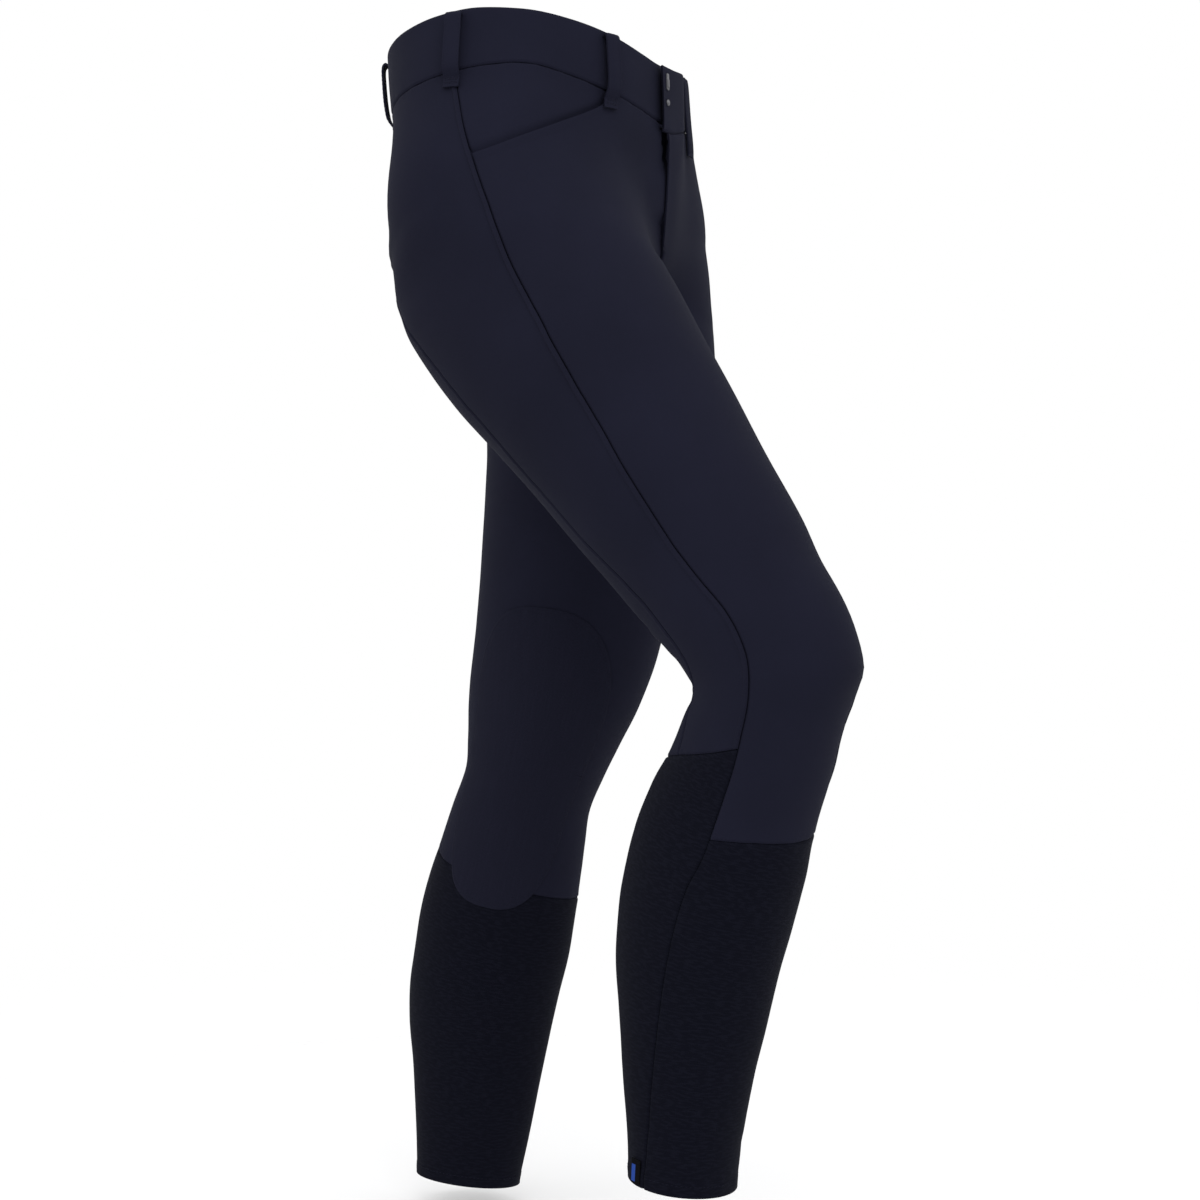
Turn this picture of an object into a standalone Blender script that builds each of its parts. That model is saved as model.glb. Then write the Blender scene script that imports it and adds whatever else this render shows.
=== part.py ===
"""Riding breeches, worn form: hollow cloth walls held in a walking pose.

Metres, +Z up. The wearer faces -Y and the wearer's left is +X. The origin is the centre of the waist.

The form is worked out from sizes: a pelvis column and two legs, blended at the hips. A place on it is named
by the leg's side, the distance down the leg and the angle round it in degrees (0 front, 90 outer side, 180
back, -90 inner side). Each cloth piece is a net of such places between its seams, given a wall.
"""
import math

import bmesh
import bpy
import numpy as np
from mathutils import Matrix, Vector

# ---- cloth -------------------------------------------------------------------------------------------------
SEAM_GAP = 0.0003
CLOTH_WALL = 0.0015
KNIT_WALL = 0.0012
BAND_WALL = 0.0026
BAND_PROUD = 0.0004
FACING_RECESS = 0.0021
PATCH_WALL = 0.0010
PATCH_PROUD = 0.0012

# ---- the pelvis: half width, front and back depth at each height ---------------------------------------------
PELVIS = (
    # height, half_width, front, back, front_squareness
    (0.010, 0.150, 0.1090, 0.1107, 2.00),
    (0.000, 0.150, 0.1094, 0.1085, 2.00),
    (-0.045, 0.155, 0.1104, 0.1020, 2.08),
    (-0.070, 0.158, 0.1110, 0.0973, 2.20),
    (-0.100, 0.161, 0.1074, 0.0892, 2.30),
    (-0.150, 0.164, 0.1052, 0.0865, 2.50),
    (-0.170, 0.164, 0.1058, 0.1011, 2.50),
    (-0.190, 0.164, 0.1048, 0.1090, 2.50),
    (-0.240, 0.162, 0.0961, 0.1030, 2.50),
)
BACK_SQUARENESS = 2.1
PELVIS_FLOOR_FROM = -0.150
CROTCH_HEIGHT = -0.222
HIP_BLEND = 0.030

# ---- the legs: half width and depth to front and back of the centreline, by distance below the hip joint -----
HIP_JOINT_DROP = 0.130
HIP_JOINT_OUT = 0.090
LEG = {
    "right": (
        # below_hip, half_width, front, back
        (0.000, 0.078, 0.0820, 0.0702),
        (0.030, 0.081, 0.0850, 0.1044),
        (0.060, 0.084, 0.0869, 0.1109),
        (0.120, 0.084, 0.0849, 0.1064),
        (0.200, 0.078, 0.0800, 0.0906),
        (0.250, 0.074, 0.0763, 0.0830),
        (0.300, 0.069, 0.0727, 0.0744),
        (0.340, 0.065, 0.0699, 0.0676),
        (0.380, 0.062, 0.0653, 0.0611),
        (0.410, 0.060, 0.0664, 0.0582),
        (0.425, 0.059, 0.0678, 0.0561),
        (0.440, 0.058, 0.0599, 0.0565),
        (0.455, 0.057, 0.0523, 0.0608),
        (0.470, 0.056, 0.0499, 0.0632),
        (0.500, 0.055, 0.0513, 0.0658),
        (0.530, 0.055, 0.0537, 0.0718),
        (0.560, 0.056, 0.0565, 0.0740),
        (0.600, 0.055, 0.0568, 0.0734),
        (0.640, 0.052, 0.0546, 0.0681),
        (0.680, 0.047, 0.0517, 0.0589),
        (0.720, 0.044, 0.0467, 0.0515),
        (0.770, 0.043, 0.0413, 0.0426),
        (0.810, 0.043, 0.0388, 0.0384),
    ),
    "left": (
        (0.000, 0.080, 0.0806, 0.0782),
        (0.060, 0.084, 0.0994, 0.0866),
        (0.120, 0.084, 0.1083, 0.0889),
        (0.200, 0.080, 0.0966, 0.0786),
        (0.250, 0.077, 0.0901, 0.0779),
        (0.300, 0.073, 0.0863, 0.0758),
        (0.340, 0.070, 0.0827, 0.0751),
        (0.380, 0.066, 0.0739, 0.0736),
        (0.410, 0.062, 0.0650, 0.0700),
        (0.440, 0.059, 0.0585, 0.0632),
        (0.470, 0.056, 0.0550, 0.0560),
        (0.500, 0.055, 0.0593, 0.0590),
        (0.530, 0.055, 0.0640, 0.0623),
        (0.560, 0.056, 0.0669, 0.0656),
        (0.600, 0.056, 0.0677, 0.0681),
        (0.640, 0.054, 0.0650, 0.0683),
        (0.680, 0.048, 0.0620, 0.0644),
        (0.720, 0.044, 0.0584, 0.0561),
        (0.770, 0.042, 0.0522, 0.0481),
        (0.810, 0.041, 0.0467, 0.0438),
    ),
}
# How far the leg leans forward of vertical, in degrees: the right leg steps forward with a bent knee, and the
# left one is nearly straight behind it.
LEAN = {
    "right": (
        # below_hip, lean
        (0.000, 34),
        (0.370, 34),
        (0.440, 0),
        (0.500, -20),
        (0.560, -17),
        (0.680, -8),
        (0.814, -2),
    ),
    "left": (
        (0.000, -6.2),
        (0.250, -6.2),
        (0.400, -14),
        (0.460, -19),
        (0.520, -15),
        (0.600, -11),
        (0.700, -7),
        (0.814, -4),
    ),
}
HIP_FORWARD = {"right": 0.002, "left": 0.015}
KNEE_SPLAY = {"right": 0.010, "left": 0.005}
KNEE_BELOW_HIP = 0.440
SIGN = {"right": -1, "left": 1}
LEG_TAKES_OVER = (0.050, 0.360)
LEG_MOVES_OUT = (0.040, 0.300)

# ---- seams: distance down the leg, and degrees round it --------------------------------------------------------
WAISTBAND = (
    # angle, top, bottom
    (0, 0.0185, 0.0630),
    (10, 0.0178, 0.0623),
    (20, 0.0150, 0.0595),
    (40, 0.0062, 0.0506),
    (54, 0.0012, 0.0440),
    (70, -0.0034, 0.0372),
    (82, -0.0040, 0.0400),
    (95, -0.0010, 0.0457),
    (109, 0.0038, 0.0515),
    (125, 0.0080, 0.0568),
    (180, 0.0110, 0.0620),
)
# The lapped end of the left half is set lower, by this much at its top and its bottom edge.
LAP_LOWER = {"top": 0.0023, "bottom": 0.0085}
LAP_LOWER_FADES = (-12, 18)
SIDE_SEAM = (
    # down, angle
    (0.030, 90.3),
    (0.080, 84.4),
    (0.130, 77.4),
    (0.160, 73.8),
    (0.195, 71.4),
    (0.233, 70.4),
    (0.255, 71.2),
    (0.290, 76.2),
    (0.325, 82.9),
    (0.350, 86.1),
    (0.400, 88.7),
    (0.445, 89.2),
    (0.475, 87.6),
    (0.513, 84.0),
    (0.535, 84.0),
    (0.570, 87.3),
    (0.600, 91.0),
    (0.645, 90.4),
    (0.680, 90.8),
    (0.715, 97.6),
    (0.765, 101.4),
    (0.812, 105.0),
    (0.857, 107.6),
    (0.940, 110.6),
)
BACK_SEAM = (
    # down, angle
    (0.040, 147),
    (0.120, 142),
    (0.220, 139),
    (0.290, 145),
    (0.340, 148),
    (0.390, 145),
    (0.480, 134),
    (0.530, 138),
    (0.575, 150),
    (0.640, 143),
)
POCKET_LINE = (
    # angle, down
    (38, 0.0512),
    (43, 0.0630),
    (48, 0.0700),
    (56, 0.0805),
    (66, 0.0940),
    (76, 0.1060),
    (90, 0.1170),
)
POCKET_CORNER = 38
FACING_END = 32
FACING_BELOW_LINE = 0.0270
FACING_COMES_LEVEL = (0.003, 0.033)
CALF_TOP = (
    # angle, down: a spiral from the front of the side seam, round the inner side, to the back of the side seam
    (-270, 0.604),
    (-225, 0.6255),
    (-180, 0.6405),
    (-135, 0.6480),
    (-90, 0.6508),
    (0, 0.656),
    (45, 0.662),
    (90, 0.672),
)
# The left leg's knee and calf seams lie this much lower than the right's.
KNEE_DROP = {"right": 0.0, "left": 0.022}
KNEE_DROP_OVER = (0.350, 0.550)
# The hem's distance down at the leg's sides, and how much lower it hangs in front and on the outer side.
HEM = {"right": 0.9315, "left": 0.9410}
HEM_LOWER_IN_FRONT = {"right": 0.0030, "left": 0.0}
HEM_LOWER_OUTSIDE = {"right": 0.0, "left": 0.0040}
HEM_LEVEL_FROM = 0.860
HEM_EDGE_ROWS = 2
TURNED_HEM = 0.010
TURNED_HEM_PROUD = 0.0004
TURNED_HEM_STEP = 0.0008
INSEAM_LINE = -90
INSEAM_SETTLES = 0.120

# ---- the fly and the waistband's lap, left over right ----------------------------------------------------------
FLY = (
    # down, reach past the middle, lift off the right side
    (0.040, 0.0200, 0.0060),
    (0.062, 0.0160, 0.0060),
    (0.078, 0.0105, 0.0060),
    (0.100, 0.0050, 0.0060),
    (0.125, 0.0035, 0.0056),
    (0.142, 0.0040, 0.0048),
    (0.152, 0.0045, 0.0036),
    (0.158, 0.0000, 0.0028),
    (0.190, 0.0000, 0.0000),
)
LIFT_FADES = (0.016, 0.040)
BAND_LAP = 0.022
BAND_UNDERLAP = 0.020
LAP_ROOM = 0.040

# ---- knee patch, an upright rounded shape on the inner knee ----------------------------------------------------
PATCH_DOWN = 0.5445
PATCH_HALF_HEIGHT = 0.128
PATCH_ANGLE = -79
PATCH_HALF_ANGLE = 54
PATCH_SQUARENESS = 2.8

# ---- small parts -----------------------------------------------------------------------------------------------
LOOP_WIDTH = 0.012
LOOP_WALL = 0.0015
LOOP_ANGLE = {"front": 40, "side": 88.8, "back": 141}
# The left front strap is nearer the lap and pressed nearly flat, with its outer edge lifted.
PRESSED_LOOP = "front_left"
PRESSED_LOOP_ANGLE = 24
PRESSED_LOOP_TILT = 0.0007
PRESSED_LOOP_PATH = (
    (0.0030, 0.0022),
    (0.0050, 0.0024),
    (0.0090, 0.0026),
    (0.0200, 0.0027),
    (0.0340, 0.0028),
    (0.0430, 0.0027),
    (0.0490, 0.0026),
    (0.0550, 0.0024),
    (0.0630, 0.0023),
)
LOOP_PATH = (
    # down from the band's top edge, out from the form, along the middle of the strap
    (0.0040, 0.0016),
    (0.0024, 0.0034),
    (0.0040, 0.0055),
    (0.0090, 0.0064),
    (0.0300, 0.0068),
    (0.0430, 0.0062),
    (0.0485, 0.0040),
    (0.0520, 0.0022),
    (0.0590, 0.0021),
)
CLOSURE_PROUD = 0.0004
BAND_FRONT_DEPTH = 0.109
HOOK_PLACE = (-0.0150, -0.0320)
HOOK_SIZE = (0.0036, 0.0128, 0.0011)
STUD_PLACE = (-0.0154, -0.0482)
STUD_RADIUS = 0.0024
STUD_HEIGHT = 0.0014
METAL_EDGE = 0.0004
LABEL_DOWN = (0.9110, 0.9283)
LABEL_ANGLE = (114, 128)
LABEL_WALL = 0.0008
LABEL_PROUD = 0.0006

# ---- how fine the nets are -------------------------------------------------------------------------------------
ROW = 0.0250
TOP_ROWS = 5
LEVEL_FROM = 0.135
CALF_EDGE_ROWS = {"right": 7, "left": 5}
CALF_EDGE_FROM = 0.592
CALF_LEVEL_FROM = 0.696
ROWS_NEAR_CROTCH = (0.0100, 0.0040, 0.0012)
ROWS_NEAR_FLY_END = (0.152, 0.158)
KEEP_ROWS_APART = 0.007
POCKET_COLUMNS = 7
FRONT_COLUMNS = 13
INNER_COLUMNS = 9
BACK_COLUMNS = 6
CALF_COLUMNS = 22
BAND_COLUMNS = 34
PATCH_COLUMNS = 10
PATCH_END_ROWS = (0.985, 0.94, 0.87)
FACING_ROWS = 6
BAND_ROWS = 2
LABEL_ROWS = 4
CORNER_EVENS_OUT = (0.070, 0.250)
WELD = 0.00002

# ---- how the form is searched and measured ---------------------------------------------------------------------
SEARCH_STEPS = 36
NET_STEPS = 8
TOP_GUESS, BOTTOM_GUESS = 0.05, 0.65
PATH_LENGTH, PATH_POINTS = 0.900, 901
WIDEST_RADIUS = 0.260
MIDDLE_DEPTH, MIDDLE_POINTS, MIDDLE_ROWS = 0.120, 481, 160
CROTCH_BETWEEN = (0.180, 0.300)
PAST_RISE = 0.200
DOWN_STEP, FACING_DOWN_STEP, ANGLE_STEP, FIELD_STEP = 0.001, 0.0015, 1, 0.0006

NAVY = (0.0177, 0.0185, 0.0284)
DARK_NAVY = (0.0080, 0.0091, 0.0177)
METAL = (0.10, 0.10, 0.11)
LABEL_BLACK = (0.010, 0.010, 0.014)


# ---- the form --------------------------------------------------------------------------------------------------
def curve(table, column, at):
    """A smooth line through one column of a table, with no overshoot between its rows."""
    rows = sorted(table)
    x = np.array([row[0] for row in rows], float)
    y = np.array([row[column] for row in rows], float)
    step = np.diff(x)
    rise = np.diff(y) / step
    slope = np.empty_like(y)
    slope[0], slope[-1] = rise[0], rise[-1]
    same_way = rise[:-1] * rise[1:] > 0
    before, after = np.where(same_way, rise[:-1], 1), np.where(same_way, rise[1:], 1)
    near, far = 2 * step[1:] + step[:-1], step[1:] + 2 * step[:-1]
    slope[1:-1] = np.where(same_way, (near + far) / (near / before + far / after), 0)
    at = np.clip(np.asarray(at, float), x[0], x[-1])
    i = np.clip(np.searchsorted(x, at) - 1, 0, len(x) - 2)
    h = step[i]
    s = (at - x[i]) / h
    ends = (1 + 2 * s) * (1 - s) ** 2 * y[i] + s * s * (3 - 2 * s) * y[i + 1]
    return ends + s * (1 - s) ** 2 * h * slope[i] + s * s * (s - 1) * h * slope[i + 1]


def ease(value, start=0.0, end=1.0):
    """Rises smoothly from 0 at the start to 1 at the end."""
    x = np.clip((np.asarray(value, float) - start) / (end - start), 0, 1)
    return x * x * (3 - 2 * x)


def leg_radius(side, forward, out, below_hip):
    """Distance from the leg's centreline to its surface in the direction (forward, out)."""
    length = np.hypot(forward, out) + 1e-12
    half_width = curve(LEG[side], 1, below_hip)
    depth = np.where(forward > 0, curve(LEG[side], 2, below_hip), curve(LEG[side], 3, below_hip))
    return ((forward / length / depth) ** 2 + (out / length / half_width) ** 2) ** -0.5


def pelvis_field(x, f, z):
    """Below zero inside the pelvis column, which closes in a rounded floor at the crotch."""
    half_width = curve(PELVIS, 1, z)
    depth = np.where(f > 0, curve(PELVIS, 2, z), curve(PELVIS, 3, z))
    squareness = np.where(f > 0, curve(PELVIS, 4, z), BACK_SQUARENESS)
    ring = (np.abs(x) / half_width) ** squareness + (np.abs(f) / depth) ** squareness
    floor = np.maximum(PELVIS_FLOOR_FROM - z, 0) / (PELVIS_FLOOR_FROM - CROTCH_HEIGHT)
    column = ring ** (BACK_SQUARENESS / squareness)
    whole = (column + floor**BACK_SQUARENESS) ** (1 / BACK_SQUARENESS)
    return (whole - 1) * np.minimum(half_width, depth)


def thigh_field(side, x, f, z):
    """Below zero inside the straight upper leg."""
    lean = math.radians(LEAN[side][0][1])
    below, ahead = -(z + HIP_JOINT_DROP), f - HIP_FORWARD[side]
    along = ahead * math.sin(lean) + below * math.cos(lean)
    forward = ahead * math.cos(lean) - below * math.sin(lean)
    out = SIGN[side] * x - HIP_JOINT_OUT - KNEE_SPLAY[side] * along / KNEE_BELOW_HIP
    away = np.sqrt(forward**2 + out**2 + np.minimum(along, 0) ** 2)
    return away - leg_radius(side, forward, out, np.clip(along, 0, KNEE_BELOW_HIP))


def body_field(x, f, z):
    """Below zero inside the form: the pelvis blended with the legs."""
    pelvis = pelvis_field(x, f, z)
    legs = np.minimum(thigh_field("right", x, f, z), thigh_field("left", x, f, z))
    mix = np.clip(0.5 + 0.5 * (legs - pelvis) / HIP_BLEND, 0, 1)
    return legs + (pelvis - legs) * mix - HIP_BLEND * mix * (1 - mix)


def spine(side, down):
    """(x, f, z) and the forward lean of the cross-section this far down the leg."""
    down = np.asarray(down, float)
    below_hip = down - HIP_JOINT_DROP
    path = np.linspace(0, PATH_LENGTH, PATH_POINTS)
    lean = np.radians(curve(LEAN[side], 1, path))
    middle = (lean[1:] + lean[:-1]) / 2
    ahead = np.concatenate([[0], np.cumsum(np.sin(middle))]) * path[1]
    drop = np.concatenate([[0], np.cumsum(np.cos(middle))]) * path[1]
    above = below_hip < 0
    f = np.where(above, below_hip * math.sin(lean[0]), np.interp(below_hip, path, ahead)) + HIP_FORWARD[side]
    z = -np.where(above, below_hip * math.cos(lean[0]), np.interp(below_hip, path, drop)) - HIP_JOINT_DROP
    x = HIP_JOINT_OUT + KNEE_SPLAY[side] * np.clip(below_hip / KNEE_BELOW_HIP, 0, 1)
    leg = ease(down, *LEG_TAKES_OVER)
    turned = np.where(above, lean[0], np.interp(below_hip, path, lean)) * leg
    return SIGN[side] * x * ease(down, *LEG_MOVES_OUT), f * leg, z * leg - down * (1 - leg), turned


def surface(side, down, angle):
    """Points of the form, as (x, forward, z)."""
    down, angle = np.broadcast_arrays(np.asarray(down, float), np.asarray(angle, float))
    x0, f0, z0, lean = spine(side, down)
    forward, out = np.cos(np.radians(angle)), np.sin(np.radians(angle))
    direction = np.stack([SIGN[side] * out, forward * np.cos(lean), forward * np.sin(lean)], -1)
    start = np.stack([x0, f0, z0], -1)
    past_middle = np.where(down < FLY[-1][0], LAP_ROOM, 0)
    near, far = np.zeros_like(down), np.full_like(down, WIDEST_RADIUS)
    for _ in range(SEARCH_STEPS):
        half = (near + far) / 2
        p = start + half[..., None] * direction
        inside = (body_field(p[..., 0], p[..., 1], p[..., 2]) < 0) & (SIGN[side] * p[..., 0] > -past_middle)
        near, far = np.where(inside, half, near), np.where(inside, far, half)
    alone = leg_radius(side, forward, out, down - HIP_JOINT_DROP)
    return start + np.where(down < LEG_TAKES_OVER[1], near, alone)[..., None] * direction


def outward(side, down, angle):
    """The form's outward directions at those places, as (x, forward, z)."""
    down, angle = np.broadcast_arrays(np.asarray(down, float), np.asarray(angle, float))
    p = surface(side, down, angle)
    along = surface(side, down + FACING_DOWN_STEP, angle) - surface(side, down - FACING_DOWN_STEP, angle)
    across = surface(side, down, angle + ANGLE_STEP) - surface(side, down, angle - ANGLE_STEP)
    leg_normal = np.cross(across, along) * SIGN[side]
    half = np.where(SIGN[side] * p[..., 0] > -1e-9, SIGN[side], -SIGN[side])
    h = FIELD_STEP
    x, f, z = half * np.maximum(half * p[..., 0], h), p[..., 1], p[..., 2]
    level = body_field(x, f, z)
    slope = [
        (body_field(x + half * h, f, z) - level) * half,
        (body_field(x, f + h, z) - body_field(x, f - h, z)) / 2,
        (body_field(x, f, z + h) - body_field(x, f, z - h)) / 2,
    ]
    body = down < LEG_TAKES_OVER[1]
    normal = np.where(body[..., None], np.stack(slope, -1), leg_normal)
    normal[..., 0] *= ~(body & (np.abs(p[..., 0]) < h / 3))
    return normal / np.linalg.norm(normal, axis=-1, keepdims=True)


def middle_line(side):
    """Down the leg to the crotch: distances, and where the form's front and back meet the middle plane."""

    def level(down, y):
        _, f0, z0, lean = spine(side, down)
        return body_field(0 * y, f0 + y * np.cos(lean), z0 + y * np.sin(lean))

    across = np.linspace(-MIDDLE_DEPTH, MIDDLE_DEPTH, MIDDLE_POINTS)
    above, below = CROTCH_BETWEEN
    for _ in range(SEARCH_STEPS):
        half = (above + below) / 2
        above, below = (half, below) if level(half, across).min() < 0 else (above, half)
    down = above * (1 - np.linspace(1, 0, MIDDLE_ROWS) ** 2)
    deepest = np.array([across[level(d, across).argmin()] for d in down])
    ends = []
    for end in (PAST_RISE, -PAST_RISE):
        near, far = deepest.copy(), np.full_like(deepest, end)
        for _ in range(SEARCH_STEPS):
            half = (near + far) / 2
            inside = level(down, half) < 0
            near, far = np.where(inside, half, near), np.where(inside, far, half)
        ends.append(near)
    return down, ends[0], ends[1]


MIDDLE_LINE = {side: middle_line(side) for side in SIGN}
FRONT, BACK = 1, 2


def rise_angle(side, down, end, reach=0.0):
    """Angle of the front or back rise, and below the crotch of the line down the inner leg that they share."""
    line = MIDDLE_LINE[side]
    crotch = line[0][-1]
    held = np.minimum(down, crotch)
    inset = np.abs(spine(side, held)[0]) + reach + 1e-9
    y = np.interp(held, line[0], line[end])
    angle = np.degrees(np.arctan2(-inset, np.where(np.asarray(down) >= crotch, line[FRONT][-1], y)))
    return angle + (INSEAM_LINE - angle) * ease(down, crotch, crotch + INSEAM_SETTLES)


# ---- seams -----------------------------------------------------------------------------------------------------
def band_edge(side, edge):
    def at(angle):
        turned = (np.asarray(angle) + 180) % 360 - 180
        level = curve(WAISTBAND, {"top": 1, "bottom": 2}[edge], np.abs(turned))
        lapped = (side == "left") * ease(turned, -90, -89) * (1 - ease(turned, *LAP_LOWER_FADES))
        return level + LAP_LOWER[edge] * lapped

    return at


def knee_drop(side, down):
    return KNEE_DROP[side] * ease(down, *KNEE_DROP_OVER)


def side_seam(side, turns=0):
    return lambda down: curve(SIDE_SEAM, 1, down - knee_drop(side, down)) - 360 * turns


def back_seam(side):
    return lambda down: curve(BACK_SEAM, 1, down - knee_drop(side, down)) - 360


def calf_top(side):
    return lambda angle: curve(CALF_TOP, 1, angle) + KNEE_DROP[side]


def hem_line(side):
    ahead, outside = HEM_LOWER_IN_FRONT[side], HEM_LOWER_OUTSIDE[side]
    return lambda angle: HEM[side] + ahead * np.cos(np.radians(angle)) + outside * np.sin(np.radians(angle))


def pocket_line(angle):
    return curve(POCKET_LINE, 1, angle)


def front_top(side):
    """The front starts at the waistband, and beside the hip at the pocket opening."""

    def at(angle):
        band = band_edge(side, "bottom")(angle)
        return np.where(np.asarray(angle) > POCKET_CORNER - 0.01, np.maximum(pocket_line(angle), band), band)

    return at


def fly_reach(down):
    return curve(FLY, 1, down)


def lap_lift(x, down):
    """How far the left side stands off over the right side's fly and band."""
    return curve(FLY, 2, down) * (1 - ease(x, *LIFT_FADES))


# ---- nets of places --------------------------------------------------------------------------------------------
def panel_rows(side):
    """Rows of a leg panel as (share of its top edge, distance down, share of its bottom edge)."""
    crotch = MIDDLE_LINE[side][0][-1]
    last = CALF_EDGE_FROM + KNEE_DROP[side]
    kept = [crotch, *(crotch - d for d in ROWS_NEAR_CROTCH), *(ROWS_NEAR_FLY_END if side == "left" else ())]
    level = np.linspace(LEVEL_FROM, last, round((last - LEVEL_FROM) / ROW) + 1)
    level = [d for d in level if all(abs(d - k) > KEEP_ROWS_APART for k in kept)] + kept
    return edged_rows(sorted(level), TOP_ROWS, CALF_EDGE_ROWS[side])


def edged_rows(level, top_rows, bottom_rows):
    """Level rows, with rows that turn to follow the top edge above them and the bottom edge below."""
    top = [(1 - k / top_rows, level[0] * k / top_rows, 0) for k in range(top_rows)]
    bottom = [(0, level[-1] * (1 - k / bottom_rows), k / bottom_rows) for k in range(1, bottom_rows + 1)]
    return np.array(top + [(0, d, 0) for d in level] + bottom)


def even_rows(count):
    """Rows shared out between a top and a bottom edge."""
    return np.array([(1 - k / count, 0, k / count) for k in range(count + 1)])


def net(side, columns, rows, left, right, top, bottom, seams=(1, 1, 1, 1), corner=None):
    """Distances down and angles of a grid of places between two seams and two edges.

    seams says which of left, right, top and bottom keep half a seam gap. corner is a column and the angle
    that it keeps near the top.
    """
    from_top, level, from_bottom = (rows[:, k, None] for k in range(3))
    share = np.linspace(0, 1, columns + 1)[None, :]
    down = level + TOP_GUESS * from_top + BOTTOM_GUESS * from_bottom + 0 * share
    for _ in range(NET_STEPS):
        start, end = left(down), right(down)
        angle = start + (end - start) * share
        if corner:
            at = corner[0] / columns
            even = start + (end - start) * at
            held = corner[1] + (even - corner[1]) * ease(down, *CORNER_EVENS_OUT)
            before, after = share / at, (share - at) / (1 - at)
            angle = np.where(share <= at, start + (held - start) * before, held + (end - held) * after)
        down = from_top * top(angle) + level + from_bottom * bottom(angle)
    points = surface(side, down, angle)
    lower, higher = surface(side, down + DOWN_STEP, angle), surface(side, down - DOWN_STEP, angle)
    after, before = surface(side, down, angle + ANGLE_STEP), surface(side, down, angle - ANGLE_STEP)
    per_down, per_angle = (lower - higher) / (2 * DOWN_STEP), (after - before) / (2 * ANGLE_STEP)
    turn = np.sign((end - start)[:, 0])
    in_angle = half_gap(per_angle, np.gradient(points, axis=0))
    in_down = half_gap(per_down, np.gradient(points, axis=1))
    angle[:, 0] += turn * in_angle[:, 0] * seams[0]
    angle[:, -1] -= turn * in_angle[:, -1] * seams[1]
    down[0] += in_down[0] * seams[2]
    down[-1] -= in_down[-1] * seams[3]
    return down, angle


def half_gap(per_step, edge):
    """How many steps take a point half a seam gap away from its edge."""
    run = edge / (np.linalg.norm(edge, axis=-1, keepdims=True) + 1e-12)
    return SEAM_GAP / 2 / np.maximum(np.linalg.norm(np.cross(per_step, run), axis=-1), 1e-4)


def wall(side, places, proud, thickness, past_middle=0.0):
    """Outer and inner world points of a wall at those places of the form."""
    down, angle = places
    p, n = surface(side, down, angle), outward(side, down, angle)
    allowed = np.where(np.asarray(past_middle) > 1e-6, -LAP_ROOM, SEAM_GAP / 2)
    layers = []
    for depth in (proud, proud - thickness):
        q = p + n * np.asarray(depth + 0 * down)[..., None]
        x = SIGN[side] * np.maximum(SIGN[side] * q[..., 0], allowed)
        layers.append(np.stack([x, -q[..., 1], q[..., 2]], -1))
    return layers


# ---- meshes ----------------------------------------------------------------------------------------------------
def paint(name, colour, roughness, metallic=0.0):
    finish = bpy.data.materials.new(name)
    finish.use_nodes = True
    shader = finish.node_tree.nodes["Principled BSDF"]
    shader.inputs["Base Color"].default_value = (*colour, 1)
    shader.inputs["Roughness"].default_value = roughness
    shader.inputs["Metallic"].default_value = metallic
    return finish


def add_object(name, bm, colour, roughness, metallic=0.0):
    """Puts a mesh in the breeches' collection, with its faces pointing out and its own finish."""
    bmesh.ops.recalc_face_normals(bm, faces=bm.faces)
    mesh = bpy.data.meshes.new(name)
    bm.to_mesh(mesh)
    bm.free()
    mesh.shade_smooth()
    mesh.set_sharp_from_angle(angle=math.radians(40))
    mesh.materials.append(paint(name, colour, roughness, metallic))
    piece = bpy.data.objects.new(name, mesh)
    bpy.data.collections["riding_breeches"].objects.link(piece)
    return piece


def add_walled(name, walls, colour, roughness):
    """A closed wall from grids of outer and inner points; grids that share an edge are welded along it."""
    bm = bmesh.new()
    inner_point = bm.verts.layers.float_vector.new("inner_point")
    for outer, inner in walls:
        rows, columns = outer.shape[0] - 1, outer.shape[1] - 1
        made = bmesh.ops.create_grid(bm, x_segments=columns, y_segments=rows, size=0.5)
        for v in made["verts"]:
            i, j = round((0.5 - v.co.y) * rows), round((0.5 + v.co.x) * columns)
            v.co = outer[i, j]
            v[inner_point] = Vector(inner[i, j])
    bmesh.ops.remove_doubles(bm, verts=bm.verts, dist=WELD)
    geometry = bm.verts[:] + bm.edges[:] + bm.faces[:]
    second = bmesh.ops.extrude_face_region(bm, geom=geometry, use_keep_orig=True)["geom"]
    for v in second:
        if isinstance(v, bmesh.types.BMVert):
            v.co = v[inner_point]
    return add_object(name, bm, colour, roughness)


# ---- pieces ----------------------------------------------------------------------------------------------------
def add_waistband(side):
    """Half the waistband, from centre back past the middle of the front."""
    reach = BAND_LAP if side == "left" else BAND_UNDERLAP
    places = net(
        side, BAND_COLUMNS, even_rows(BAND_ROWS),
        left=lambda down: 180 + 0 * down,
        right=lambda down: rise_angle(side, down, FRONT, reach),
        top=band_edge(side, "top"), bottom=band_edge(side, "bottom"), seams=(0, 0, 0, 1),
    )
    lift = lap_lift(surface(side, *places)[..., 0], places[0]) if side == "left" else 0
    front_half = np.cos(np.radians(places[1])) > 0
    add_walled(f"waistband_{side}", [wall(side, places, BAND_PROUD + lift, BAND_WALL, front_half * reach)], NAVY, 0.8)


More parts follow.
